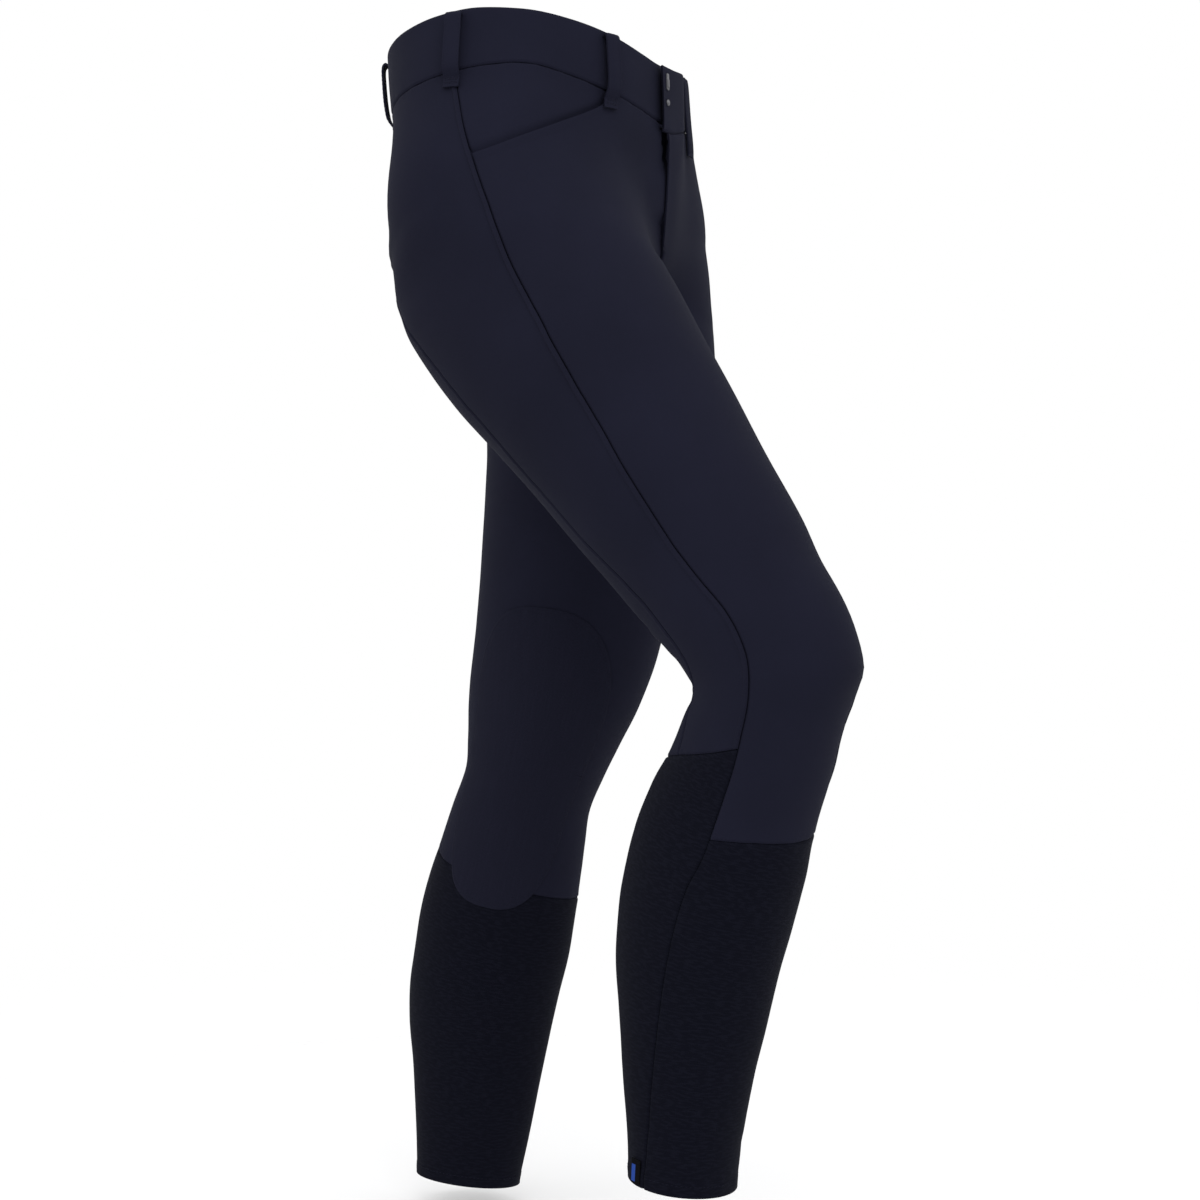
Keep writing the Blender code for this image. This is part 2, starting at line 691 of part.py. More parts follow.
def add_front(side):
    """The front, wrapped round the inner thigh to the back seam and up beside the centre back."""
    lapped = side == "left"

    def reach(down):
        return fly_reach(down) if lapped else 0 * down

    rows = panel_rows(side)
    front = net(
        side, FRONT_COLUMNS, rows,
        left=side_seam(side),
        right=lambda down: rise_angle(side, down, FRONT, reach(down)),
        top=front_top(side), bottom=calf_top(side), seams=(1, 0, 1, 1), corner=(POCKET_COLUMNS, POCKET_CORNER),
    )
    inner = net(
        side, INNER_COLUMNS, rows,
        left=lambda down: rise_angle(side, down, BACK),
        right=back_seam(side),
        top=band_edge(side, "bottom"), bottom=calf_top(side), seams=(0, 1, 1, 1),
    )
    lift = lap_lift(surface(side, *front)[..., 0], front[0]) if lapped else 0
    walls = [
        wall(side, front, lift + 0 * front[0], CLOTH_WALL, reach(front[0])),
        wall(side, inner, 0 * inner[0], CLOTH_WALL),
    ]
    add_walled(f"front_{side}", walls, NAVY, 0.8)


def add_back(side):
    """The back panel between the back seam and the side seam."""
    places = net(
        side, BACK_COLUMNS, panel_rows(side),
        left=back_seam(side), right=side_seam(side, turns=1),
        top=band_edge(side, "bottom"), bottom=calf_top(side),
    )
    add_walled(f"back_{side}", [wall(side, places, 0, CLOTH_WALL)], NAVY, 0.8)


def add_pocket_facing(side):
    """The cloth behind the slanted pocket opening, level with the hip where it meets the seams."""
    places = net(
        side, POCKET_COLUMNS + 1, even_rows(FACING_ROWS),
        left=side_seam(side), right=lambda down: FACING_END + 0 * down,
        top=band_edge(side, "bottom"), bottom=lambda angle: pocket_line(angle) + FACING_BELOW_LINE,
    )
    above_line = pocket_line(places[1]) - places[0]
    recess = FACING_RECESS * (1 - ease(above_line, *FACING_COMES_LEVEL))
    add_walled(f"pocket_facing_{side}", [wall(side, places, -recess, CLOTH_WALL)], NAVY, 0.8)


def add_calf(side):
    """The knit calf, one piece round the leg from side seam to side seam, turned in at the hem."""
    first = CALF_LEVEL_FROM + KNEE_DROP[side]
    level = np.linspace(first, HEM_LEVEL_FROM, round((HEM_LEVEL_FROM - first) / ROW) + 1)
    rows = edged_rows(level, CALF_EDGE_ROWS[side] + 1, HEM_EDGE_ROWS)
    turn_rows = [(0, TURNED_HEM_STEP, 1), (0, TURNED_HEM, 1)]
    hem = hem_line(side)
    places = net(
        side, CALF_COLUMNS, np.concatenate([rows, turn_rows]),
        left=side_seam(side), right=side_seam(side, turns=1),
        top=calf_top(side), bottom=lambda angle: hem(angle) - TURNED_HEM, seams=(1, 1, 1, 0),
    )
    above_hem = hem(places[1]) - places[0]
    turned = TURNED_HEM_PROUD * (1 - ease(above_hem, TURNED_HEM - TURNED_HEM_STEP, TURNED_HEM))
    add_walled(f"calf_{side}", [wall(side, places, turned, KNIT_WALL + 2 * turned)], DARK_NAVY, 0.85)


def add_knee_patch(side):
    """A rounded patch laid on the inner knee, over the panel's rows and the top of the calf."""
    middle = PATCH_DOWN + KNEE_DROP[side]
    ends = PATCH_HALF_HEIGHT * np.array(PATCH_END_ROWS)
    room = ends[-1] - KEEP_ROWS_APART
    level = [row[1] for row in panel_rows(side) if row[0] == row[2] == 0 and abs(row[1] - middle) < room]
    below = np.linspace(level[-1], middle + ends[-1], round((middle + ends[-1] - level[-1]) / ROW) + 1)
    down = np.array([*(middle - ends), *level, *below[1:], *(middle + ends[-2::-1])])[:, None]
    width = (1 - np.abs((down - middle) / PATCH_HALF_HEIGHT) ** PATCH_SQUARENESS) ** (1 / PATCH_SQUARENESS)
    angle = PATCH_ANGLE + PATCH_HALF_ANGLE * width * np.linspace(1, -1, PATCH_COLUMNS + 1)
    patch = wall(side, (down + 0 * angle, angle), PATCH_PROUD + PATCH_WALL, PATCH_WALL)
    add_walled(f"knee_patch_{side}", [patch], NAVY, 0.9)


def add_belt_loop(side, place):
    """A strap that stands off the waistband and is sewn down at its ends."""
    which = f"{place}_{side}"
    pressed = which == PRESSED_LOOP
    path = np.array(PRESSED_LOOP_PATH if pressed else LOOP_PATH)
    along = np.gradient(path, axis=0)
    normal = np.stack([-along[:, 1], along[:, 0]], -1) / np.linalg.norm(along, axis=1)[:, None]
    middle = PRESSED_LOOP_ANGLE if pressed else LOOP_ANGLE[place]
    top = float(band_edge(side, "top")(middle))
    radius = np.linalg.norm(surface(side, top, middle)[:2])
    half_angle = math.degrees(LOOP_WIDTH / 2 / radius)
    across = np.linspace(1, -1, 3)[None, :]
    angle = middle + across * half_angle + 0 * path[:, :1]
    tilt = across[..., None] * PRESSED_LOOP_TILT * pressed
    layers = []
    for layer in (path + normal * LOOP_WALL / 2, path - normal * LOOP_WALL / 2):
        down = top + layer[:, :1] + 0 * angle
        points = surface(side, down, angle) + outward(side, down, angle) * (layer[:, 1, None, None] + tilt)
        layers.append(points * (1, -1, 1))
    add_walled(f"belt_loop_{which}", [layers], NAVY, 0.8)


def front_place(x, z):
    """A point of the lapped band's face and the way it faces."""
    angle, down = -math.degrees(math.atan2(-x, BAND_FRONT_DEPTH)), -z
    places = np.array([[down]]), np.array([[angle]])
    proud = BAND_PROUD + lap_lift(np.array([[x]]), places[0]) + CLOSURE_PROUD
    point, _ = wall("left", places, proud, 0.0, 1.0)
    n = outward("left", *places)[0, 0]
    return Vector(point[0, 0]), Vector((n[0], -n[1], n[2]))


def add_closure(name, bm, place, thickness):
    """A metal piece laid flat on the lapped end of the band."""
    point, facing = front_place(*place)
    piece = add_object(name, bm, METAL, 0.35, metallic=1.0)
    piece.location = point + facing * thickness / 2
    upright = (Vector((0, 0, 1)) - facing * facing.z).normalized()
    piece.rotation_euler = Matrix((upright.cross(facing), upright, facing)).transposed().to_euler()
    edge = piece.modifiers.new("edge", "BEVEL")
    edge.width = METAL_EDGE
    edge.segments = 2


def add_hook():
    bm = bmesh.new()
    bmesh.ops.create_cube(bm, size=1, matrix=Matrix.Diagonal((*HOOK_SIZE, 1)))
    add_closure("hook_plate", bm, HOOK_PLACE, HOOK_SIZE[2])


def add_stud():
    bm = bmesh.new()
    bmesh.ops.create_cone(
        bm, cap_ends=True, segments=12, radius1=STUD_RADIUS, radius2=STUD_RADIUS, depth=STUD_HEIGHT
    )
    add_closure("stud_plate", bm, STUD_PLACE, STUD_HEIGHT)


def add_hem_label():
    """A small folded tag beside the right leg's side seam."""
    down, angle = np.linspace(*LABEL_DOWN, LABEL_ROWS), np.linspace(*LABEL_ANGLE[::-1], LABEL_ROWS)
    down, angle = np.meshgrid(down, angle, indexing="ij")
    label = wall("right", (down, angle), LABEL_PROUD + LABEL_WALL, LABEL_WALL)
    add_walled("hem_label", [label], LABEL_BLACK, 0.6)


for old in list(bpy.data.objects):
    bpy.data.objects.remove(old, do_unlink=True)
bpy.context.scene.collection.children.link(bpy.data.collections.new("riding_breeches"))

for leg_side in SIGN:
    add_waistband(leg_side)
    add_front(leg_side)
    add_back(leg_side)
    add_pocket_facing(leg_side)
    add_calf(leg_side)
    add_knee_patch(leg_side)
    for loop_place in LOOP_ANGLE:
        add_belt_loop(leg_side, loop_place)
add_hook()
add_stud()
add_hem_label()
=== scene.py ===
"""Riding breeches in their worn form: cloth panels, knit calves, waistband, closure and stitching.

Metres, +Z up; the wearer faces -Y and their left is +X. Every piece lies on one worn form, a pelvis column and two
legs. A place on it is a leg's side, the distance down that leg and the angle round it in degrees: 0 front, 90 outer
side, 180 back, -90 inner side.
"""
import math

import bmesh
import bpy
import numpy as np
from mathutils import Matrix, Vector


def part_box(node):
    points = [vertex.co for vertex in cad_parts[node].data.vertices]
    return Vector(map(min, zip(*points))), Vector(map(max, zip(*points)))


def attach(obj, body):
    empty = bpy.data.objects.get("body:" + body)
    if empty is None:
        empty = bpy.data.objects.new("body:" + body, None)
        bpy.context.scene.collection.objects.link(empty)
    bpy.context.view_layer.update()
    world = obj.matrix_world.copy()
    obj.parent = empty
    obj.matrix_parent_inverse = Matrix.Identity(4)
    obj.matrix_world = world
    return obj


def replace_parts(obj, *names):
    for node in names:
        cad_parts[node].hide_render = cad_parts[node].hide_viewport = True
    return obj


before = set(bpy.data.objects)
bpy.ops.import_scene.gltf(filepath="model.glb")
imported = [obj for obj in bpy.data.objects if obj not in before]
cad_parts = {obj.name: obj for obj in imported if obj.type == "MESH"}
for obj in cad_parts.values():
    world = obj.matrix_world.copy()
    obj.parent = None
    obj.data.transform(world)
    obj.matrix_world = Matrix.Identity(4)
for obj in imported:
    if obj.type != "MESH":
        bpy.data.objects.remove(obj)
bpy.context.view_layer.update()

# ---- Leg panels ------------------------------------------------------------------------------------------------
# The main panel of each leg is one piece of stretch twill: the front, wrapped round the inner thigh to a seam at the
# back of the thigh and up beside the centre back. It is sewn flat-felled to the back panel, and the left one laps
# over the right at the fly, where a bar tack ends the opening.
PELVIS_ROWS = (
    # height, half width, front depth, back depth, front squareness
    (0.010, 0.150, 0.1090, 0.1107, 2.00),
    (0.000, 0.150, 0.1094, 0.1085, 2.00),
    (-0.045, 0.155, 0.1104, 0.1020, 2.08),
    (-0.070, 0.158, 0.1110, 0.0973, 2.20),
    (-0.100, 0.161, 0.1074, 0.0892, 2.30),
    (-0.150, 0.164, 0.1052, 0.0865, 2.50),
    (-0.170, 0.164, 0.1058, 0.1011, 2.50),
    (-0.190, 0.164, 0.1048, 0.1090, 2.50),
    (-0.240, 0.162, 0.0961, 0.1030, 2.50),
)
SEAT_SQUARENESS = 2.1
PELVIS_FLOOR_FROM, CROTCH_HEIGHT, HIP_BLEND = -0.150, -0.222, 0.030
HIP_DROP, HIP_OUT = 0.130, 0.090
LEG_ROWS = {
    "right": (
        # below the hip, half width, front depth, back depth
        (0.000, 0.078, 0.0820, 0.0702), (0.030, 0.081, 0.0850, 0.1044), (0.060, 0.084, 0.0869, 0.1109),
        (0.120, 0.084, 0.0849, 0.1064), (0.200, 0.078, 0.0800, 0.0906), (0.250, 0.074, 0.0763, 0.0830),
        (0.300, 0.069, 0.0727, 0.0744), (0.340, 0.065, 0.0699, 0.0676), (0.380, 0.062, 0.0653, 0.0611),
        (0.410, 0.060, 0.0664, 0.0582), (0.425, 0.059, 0.0678, 0.0561), (0.440, 0.058, 0.0599, 0.0565),
        (0.455, 0.057, 0.0523, 0.0608), (0.470, 0.056, 0.0499, 0.0632), (0.500, 0.055, 0.0513, 0.0658),
        (0.530, 0.055, 0.0537, 0.0718), (0.560, 0.056, 0.0565, 0.0740), (0.600, 0.055, 0.0568, 0.0734),
        (0.640, 0.052, 0.0546, 0.0681), (0.680, 0.047, 0.0517, 0.0589), (0.720, 0.044, 0.0467, 0.0515),
        (0.770, 0.043, 0.0413, 0.0426), (0.810, 0.043, 0.0388, 0.0384),
    ),
    "left": (
        (0.000, 0.080, 0.0806, 0.0782), (0.060, 0.084, 0.0994, 0.0866), (0.120, 0.084, 0.1083, 0.0889),
        (0.200, 0.080, 0.0966, 0.0786), (0.250, 0.077, 0.0901, 0.0779), (0.300, 0.073, 0.0863, 0.0758),
        (0.340, 0.070, 0.0827, 0.0751), (0.380, 0.066, 0.0739, 0.0736), (0.410, 0.062, 0.0650, 0.0700),
        (0.440, 0.059, 0.0585, 0.0632), (0.470, 0.056, 0.0550, 0.0560), (0.500, 0.055, 0.0593, 0.0590),
        (0.530, 0.055, 0.0640, 0.0623), (0.560, 0.056, 0.0669, 0.0656), (0.600, 0.056, 0.0677, 0.0681),
        (0.640, 0.054, 0.0650, 0.0683), (0.680, 0.048, 0.0620, 0.0644), (0.720, 0.044, 0.0584, 0.0561),
        (0.770, 0.042, 0.0522, 0.0481), (0.810, 0.041, 0.0467, 0.0438),
    ),
}
LEAN_ROWS = {
    # below the hip, forward lean of the leg in degrees
    "right": ((0.000, 34), (0.370, 34), (0.440, 0), (0.500, -20), (0.560, -17), (0.680, -8), (0.814, -2)),
    "left": (
        (0.000, -6.2), (0.250, -6.2), (0.400, -14), (0.460, -19), (0.520, -15), (0.600, -11), (0.700, -7),
        (0.814, -4),
    ),
}
HIP_FORWARD = {"right": 0.002, "left": 0.015}
KNEE_SPLAY = {"right": 0.010, "left": 0.005}
KNEE_BELOW_HIP = 0.440
SIGN = {"right": -1, "left": 1}
LEG_TAKES_OVER, LEG_MOVES_OUT = (0.050, 0.360), (0.040, 0.300)


def smooth_line(rows, column):
    """A smooth line through one column of a table of sizes, by its first column, with no overshoot."""
    rows = sorted(rows)
    x = np.array([row[0] for row in rows], float)
    y = np.array([row[column] for row in rows], float)
    step = np.diff(x)
    rise = np.diff(y) / step
    slope = np.concatenate([rise[:1], rise[:-1] * 0, rise[-1:]])
    same_way = rise[:-1] * rise[1:] > 0
    before, after = np.where(same_way, rise[:-1], 1), np.where(same_way, rise[1:], 1)
    near, far = 2 * step[1:] + step[:-1], step[1:] + 2 * step[:-1]
    slope[1:-1] = np.where(same_way, (near + far) / (near / before + far / after), 0)

    def at(value):
        value = np.clip(np.asarray(value, float), x[0], x[-1])
        i = np.clip(np.searchsorted(x, value) - 1, 0, len(x) - 2)
        h = step[i]
        s = (value - x[i]) / h
        ends = (1 + 2 * s) * (1 - s) ** 2 * y[i] + s * s * (3 - 2 * s) * y[i + 1]
        return ends + s * (1 - s) ** 2 * h * slope[i] + s * s * (s - 1) * h * slope[i + 1]

    return at


def ease(value, start=0.0, end=1.0):
    x = np.clip((np.asarray(value, float) - start) / (end - start), 0, 1)
    return x * x * (3 - 2 * x)


pelvis_width, pelvis_front, pelvis_back, pelvis_square = (smooth_line(PELVIS_ROWS, k) for k in range(1, 5))
leg_width, leg_front, leg_back = ({s: smooth_line(LEG_ROWS[s], k) for s in SIGN} for k in range(1, 4))
leg_lean = {s: smooth_line(LEAN_ROWS[s], 1) for s in SIGN}


def leg_radius(side, forward, out, below_hip):
    length = np.hypot(forward, out) + 1e-12
    depth = np.where(forward > 0, leg_front[side](below_hip), leg_back[side](below_hip))
    return ((forward / length / depth) ** 2 + (out / length / leg_width[side](below_hip)) ** 2) ** -0.5


def pelvis_field(x, f, z):
    half_width = pelvis_width(z)
    depth = np.where(f > 0, pelvis_front(z), pelvis_back(z))
    squareness = np.where(f > 0, pelvis_square(z), SEAT_SQUARENESS)
    ring = (np.abs(x) / half_width) ** squareness + (np.abs(f) / depth) ** squareness
    floor = np.maximum(PELVIS_FLOOR_FROM - z, 0) / (PELVIS_FLOOR_FROM - CROTCH_HEIGHT)
    whole = (ring ** (SEAT_SQUARENESS / squareness) + floor**SEAT_SQUARENESS) ** (1 / SEAT_SQUARENESS)
    return (whole - 1) * np.minimum(half_width, depth)


def thigh_field(side, x, f, z):
    lean = math.radians(LEAN_ROWS[side][0][1])
    below, ahead = -(z + HIP_DROP), f - HIP_FORWARD[side]
    along = ahead * math.sin(lean) + below * math.cos(lean)
    forward = ahead * math.cos(lean) - below * math.sin(lean)
    out = SIGN[side] * x - HIP_OUT - KNEE_SPLAY[side] * along / KNEE_BELOW_HIP
    away = np.sqrt(forward**2 + out**2 + np.minimum(along, 0) ** 2)
    return away - leg_radius(side, forward, out, np.clip(along, 0, KNEE_BELOW_HIP))


def body_field(x, f, z):
    """Below zero inside the worn form: the pelvis blended with the legs."""
    pelvis = pelvis_field(x, f, z)
    legs = np.minimum(thigh_field("right", x, f, z), thigh_field("left", x, f, z))
    mix = np.clip(0.5 + 0.5 * (legs - pelvis) / HIP_BLEND, 0, 1)
    return legs + (pelvis - legs) * mix - HIP_BLEND * mix * (1 - mix)


def leg_line(side, down):
    """(x, forward, height) and lean of the leg's centreline this far down."""
    down = np.asarray(down, float)
    below_hip = down - HIP_DROP
    path = np.linspace(0, 0.900, 901)
    lean = np.radians(leg_lean[side](path))
    middle = (lean[1:] + lean[:-1]) / 2
    ahead = np.concatenate([[0], np.cumsum(np.sin(middle))]) * path[1]
    drop = np.concatenate([[0], np.cumsum(np.cos(middle))]) * path[1]
    above = below_hip < 0
    f = np.where(above, below_hip * math.sin(lean[0]), np.interp(below_hip, path, ahead)) + HIP_FORWARD[side]
    z = -np.where(above, below_hip * math.cos(lean[0]), np.interp(below_hip, path, drop)) - HIP_DROP
    x = HIP_OUT + KNEE_SPLAY[side] * np.clip(below_hip / KNEE_BELOW_HIP, 0, 1)
    leg = ease(down, *LEG_TAKES_OVER)
    turned = np.where(above, lean[0], np.interp(below_hip, path, lean)) * leg
    return SIGN[side] * x * ease(down, *LEG_MOVES_OUT), f * leg, z * leg - down * (1 - leg), turned


def form_point(side, down, angle):
    """Points of the worn form, as (x, forward, height)."""
    down, angle = np.broadcast_arrays(np.asarray(down, float), np.asarray(angle, float))
    x0, f0, z0, lean = leg_line(side, down)
    forward, out = np.cos(np.radians(angle)), np.sin(np.radians(angle))
    direction = np.stack([SIGN[side] * out, forward * np.cos(lean), forward * np.sin(lean)], -1)
    start = np.stack([x0, f0, z0], -1)
    reach = leg_radius(side, forward, out, down - HIP_DROP)
    body = down < LEG_TAKES_OVER[1]
    if body.any():
        s, d, past_middle = start[body], direction[body], np.where(down[body] < 0.190, 0.040, 0)
        near, far = np.zeros(len(s)), np.full(len(s), 0.260)
        for _ in range(26):
            half = (near + far) / 2
            p = s + half[:, None] * d
            inside = (body_field(p[:, 0], p[:, 1], p[:, 2]) < 0) & (SIGN[side] * p[:, 0] > -past_middle)
            near, far = np.where(inside, half, near), np.where(inside, far, half)
        reach[body] = near
    return start + reach[..., None] * direction


def form_outward(side, down, angle, p):
    """Which way the form faces at those places, as (x, forward, height)."""
    along = form_point(side, down + 0.0015, angle) - form_point(side, down - 0.0015, angle)
    across = form_point(side, down, angle + 1) - form_point(side, down, angle - 1)
    normal = np.cross(across, along) * SIGN[side]
    body = down < LEG_TAKES_OVER[1]
    if body.any():
        q, h = p[body], 0.0006
        half = np.where(SIGN[side] * q[:, 0] > -1e-9, SIGN[side], -SIGN[side])
        x, f, z = half * np.maximum(half * q[:, 0], h), q[:, 1], q[:, 2]
        slope = np.stack([
            (body_field(x + half * h, f, z) - body_field(x, f, z)) * half,
            (body_field(x, f + h, z) - body_field(x, f - h, z)) / 2,
            (body_field(x, f, z + h) - body_field(x, f, z - h)) / 2,
        ], -1)
        slope[:, 0] *= np.abs(q[:, 0]) >= h / 3
        normal[body] = slope
    return normal / np.linalg.norm(normal, axis=-1, keepdims=True)


def middle_line(side):
    """Down the leg to the crotch: distances, and where the form's front and back meet the middle plane."""

    def level(down, y):
        _, f0, z0, lean = leg_line(side, down)
        return body_field(0 * y, f0 + y * np.cos(lean), z0 + y * np.sin(lean))

    across = np.linspace(-0.120, 0.120, 481)
    above, below = 0.180, 0.300
    for _ in range(30):
        half = (above + below) / 2
        above, below = (half, below) if level(half, across).min() < 0 else (above, half)
    down = above * (1 - np.linspace(1, 0, 160) ** 2)
    deepest = np.array([across[level(d, across).argmin()] for d in down])
    ends = []
    for end in (0.200, -0.200):
        near, far = deepest.copy(), np.full_like(deepest, end)
        for _ in range(30):
            half = (near + far) / 2
            inside = level(down, half) < 0
            near, far = np.where(inside, half, near), np.where(inside, far, half)
        ends.append(near)
    return down, ends[0], ends[1]


MIDDLE = {s: middle_line(s) for s in SIGN}
CROTCH = {s: MIDDLE[s][0][-1] for s in SIGN}


def rise_angle(side, down, end, reach=0.0):
    """Angle of the front (end 1) or back (end 2) rise, and below the crotch of the fold down the inner leg."""
    held = np.minimum(down, CROTCH[side])
    inset = np.abs(leg_line(side, held)[0]) + reach + 1e-9
    y = np.interp(held, MIDDLE[side][0], MIDDLE[side][end])
    angle = np.degrees(np.arctan2(-inset, np.where(np.asarray(down) >= CROTCH[side], MIDDLE[side][1][-1], y)))
    return angle + (-90 - angle) * ease(down, CROTCH[side], CROTCH[side] + 0.120)


# Seams, as angle against distance down or distance down against angle.
KNEE_DROP = {"right": 0.0, "left": 0.022}
HEM = {"right": 0.9315, "left": 0.9410}
HEM_LOWER_IN_FRONT, HEM_LOWER_OUTSIDE = {"right": 0.0030, "left": 0.0}, {"right": 0.0, "left": 0.0040}
SIDE_SEAM = smooth_line(
    ((0.030, 90.3), (0.080, 84.4), (0.130, 77.4), (0.160, 73.8), (0.195, 71.4), (0.233, 70.4), (0.255, 71.2),
     (0.290, 76.2), (0.325, 82.9), (0.350, 86.1), (0.400, 88.7), (0.445, 89.2), (0.475, 87.6), (0.513, 84.0),
     (0.535, 84.0), (0.570, 87.3), (0.600, 91.0), (0.645, 90.4), (0.680, 90.8), (0.715, 97.6), (0.765, 101.4),
     (0.812, 105.0), (0.857, 107.6), (0.940, 110.6)), 1)
THIGH_SEAM = smooth_line(
    ((0.040, 147), (0.120, 142), (0.220, 139), (0.290, 145), (0.340, 148), (0.390, 145), (0.480, 134),
     (0.530, 138), (0.575, 150), (0.640, 143)), 1)
POCKET_LINE = smooth_line(
    ((38, 0.0512), (43, 0.0630), (48, 0.0700), (56, 0.0805), (66, 0.0940), (76, 0.1060), (90, 0.1170)), 1)
CALF_TOP = smooth_line(
    ((-270, 0.604), (-225, 0.6255), (-180, 0.6405), (-135, 0.6480), (-90, 0.6508), (0, 0.656), (45, 0.662),
     (90, 0.672)), 1)
BAND_ROWS = (
    # angle, top edge, bottom edge
    (0, 0.0185, 0.0630), (10, 0.0178, 0.0623), (20, 0.0150, 0.0595), (40, 0.0062, 0.0506), (54, 0.0012, 0.0440),
    (70, -0.0034, 0.0372), (82, -0.0040, 0.0400), (95, -0.0010, 0.0457), (109, 0.0038, 0.0515),
    (125, 0.0080, 0.0568), (180, 0.0110, 0.0620),
)
LAP_LOWER, LAP_LOWER_FADES = {"top": 0.0023, "bottom": 0.0085}, (-12, 18)
band_top_line, band_bottom_line = smooth_line(BAND_ROWS, 1), smooth_line(BAND_ROWS, 2)
FLY_ROWS = (
    # down, reach past the middle, lift off the right side
    (0.040, 0.0200, 0.0060), (0.062, 0.0160, 0.0060), (0.078, 0.0105, 0.0060), (0.100, 0.0050, 0.0060),
    (0.125, 0.0035, 0.0056), (0.142, 0.0040, 0.0048), (0.152, 0.0045, 0.0036), (0.158, 0.0000, 0.0028),
    (0.190, 0.0000, 0.0000),
)
fly_reach, fly_lift = smooth_line(FLY_ROWS, 1), smooth_line(FLY_ROWS, 2)


def knee_drop(side, down):
    return KNEE_DROP[side] * ease(down, 0.350, 0.550)


def side_seam(side, turns=0):
    return lambda down: SIDE_SEAM(down - knee_drop(side, down)) - 360 * turns


def thigh_seam(side):
    return lambda down: THIGH_SEAM(down - knee_drop(side, down)) - 360


def calf_top(side):
    return lambda angle: CALF_TOP(angle) + KNEE_DROP[side]


def hem_line(side):
    ahead, outside = HEM_LOWER_IN_FRONT[side], HEM_LOWER_OUTSIDE[side]
    return lambda angle: HEM[side] + ahead * np.cos(np.radians(angle)) + outside * np.sin(np.radians(angle))


def band_edge(side, edge):
    """The waistband's top or bottom edge, lower on the lapped left side in front."""
    line = {"top": band_top_line, "bottom": band_bottom_line}[edge]

    def at(angle):
        turned = (np.asarray(angle) + 180) % 360 - 180
        lapped = (side == "left") * ease(turned, -90, -89) * (1 - ease(turned, *LAP_LOWER_FADES))
        return line(np.abs(turned)) + LAP_LOWER[edge] * lapped

    return at


def front_top(side):
    """The front starts at the waistband, and beside the hip at the pocket opening."""

    def at(angle):
        band = band_edge(side, "bottom")(angle)
        return np.where(np.asarray(angle) > 37.99, np.maximum(POCKET_LINE(angle), band), band)

    return at


def lap_lift(x, down):
    wider = 0.032 * ease(down, 0.070, 0.100)
    return fly_lift(down) * (1 - ease((x - 0.016 + wider / 4) / (0.024 + wider)))


# Creases of the tight cloth: leg, places (down, angle) from end to end, half width, height (below 0 is a trough).
CREASES = (
    ("right", ((0.176, -22), (0.190, 2), (0.203, 28)), 0.0070, -0.0007),
    ("right", ((0.196, -40), (0.214, -12), (0.222, 16)), 0.0080, -0.0008),
    ("right", ((0.206, -30), (0.226, -4), (0.236, 12)), 0.0060, 0.0005),
    ("right", ((0.170, 20), (0.158, 42), (0.150, 60)), 0.0120, -0.0007),
    ("right", ((0.478, 150), (0.472, 176), (0.476, 204)), 0.0050, -0.0010),
    ("right", ((0.492, 158), (0.490, 182), (0.497, 212)), 0.0045, -0.0012),
    ("right", ((0.508, 150), (0.511, 170), (0.507, 190)), 0.0050, -0.0007),
    ("right", ((0.485, 150), (0.481, 178), (0.486, 208)), 0.0045, 0.0008),
    ("right", ((0.462, 118), (0.470, 142), (0.468, 160)), 0.0060, -0.0006),
    ("right", ((0.560, -20), (0.570, 5), (0.566, 34)), 0.0100, -0.0008),
    ("right", ((0.880, 60), (0.886, 90), (0.879, 130)), 0.0070, -0.0005),
    ("right", ((0.893, -60), (0.900, -20), (0.896, 20)), 0.0060, -0.0005),
    ("left", ((0.178, -18), (0.196, 8), (0.204, 34)), 0.0075, -0.0008),
    ("left", ((0.200, -36), (0.222, -10), (0.231, 14)), 0.0080, -0.0007),
    ("left", ((0.222, 150), (0.236, 176), (0.232, 204)), 0.0100, -0.0014),
    ("left", ((0.244, 160), (0.254, 184), (0.248, 206)), 0.0080, -0.0008),
    ("left", ((0.470, 150), (0.476, 180), (0.470, 212)), 0.0060, -0.0008),
    ("left", ((0.496, 158), (0.500, 184), (0.494, 206)), 0.0060, -0.0009),
    ("left", ((0.883, -70), (0.890, -100), (0.884, -140)), 0.0070, -0.0005),
    ("left", ((0.900, 40), (0.894, 80), (0.899, 120)), 0.0060, -0.0005),
)
crease_lines = []
for crease_side, crease_places, half_width, height in CREASES:
    down_line, angle_line = np.array(crease_places, float).T
    run = np.linspace(0, 2, 25)
    middle_down = smooth_line(list(zip(range(3), down_line)), 1)(run)
    middle_angle = smooth_line(list(zip(range(3), angle_line)), 1)(run)
    crease_lines.append((form_point(crease_side, middle_down, middle_angle), half_width, height))


def crease_height(p):
    """How far the creases and the cloth's slow unevenness move points (x, forward, height) in or out."""
    x, f, z = p[..., 0], p[..., 1], p[..., 2]
    total = 0.00022 * (np.sin(47 * z + 31 * f) + np.sin(83 * f - 29 * z + 40 * x) + np.sin(61 * x + 71 * z + 2))
    for line, half_width, height in crease_lines:
        box = ((p > line.min(0) - 4 * half_width) & (p < line.max(0) + 4 * half_width)).all(-1)
        if not box.any():
            continue
        away = np.linalg.norm(p[box][:, None, :] - line[None], axis=-1)
        nearest = away.argmin(1)
        share = nearest / (len(line) - 1)
        taper = ease(share, 0, 0.4) * (1 - ease(share, 0.55, 1))
        total[box] += height * taper * np.exp(-((away.min(1) / half_width) ** 2))
    return total


NEAR_SEAM = (0.00015, 0.0006, 0.0011, 0.0017, 0.0024, 0.0032, 0.0041, 0.0051, 0.0062, 0.0076, 0.0095, 0.0120)


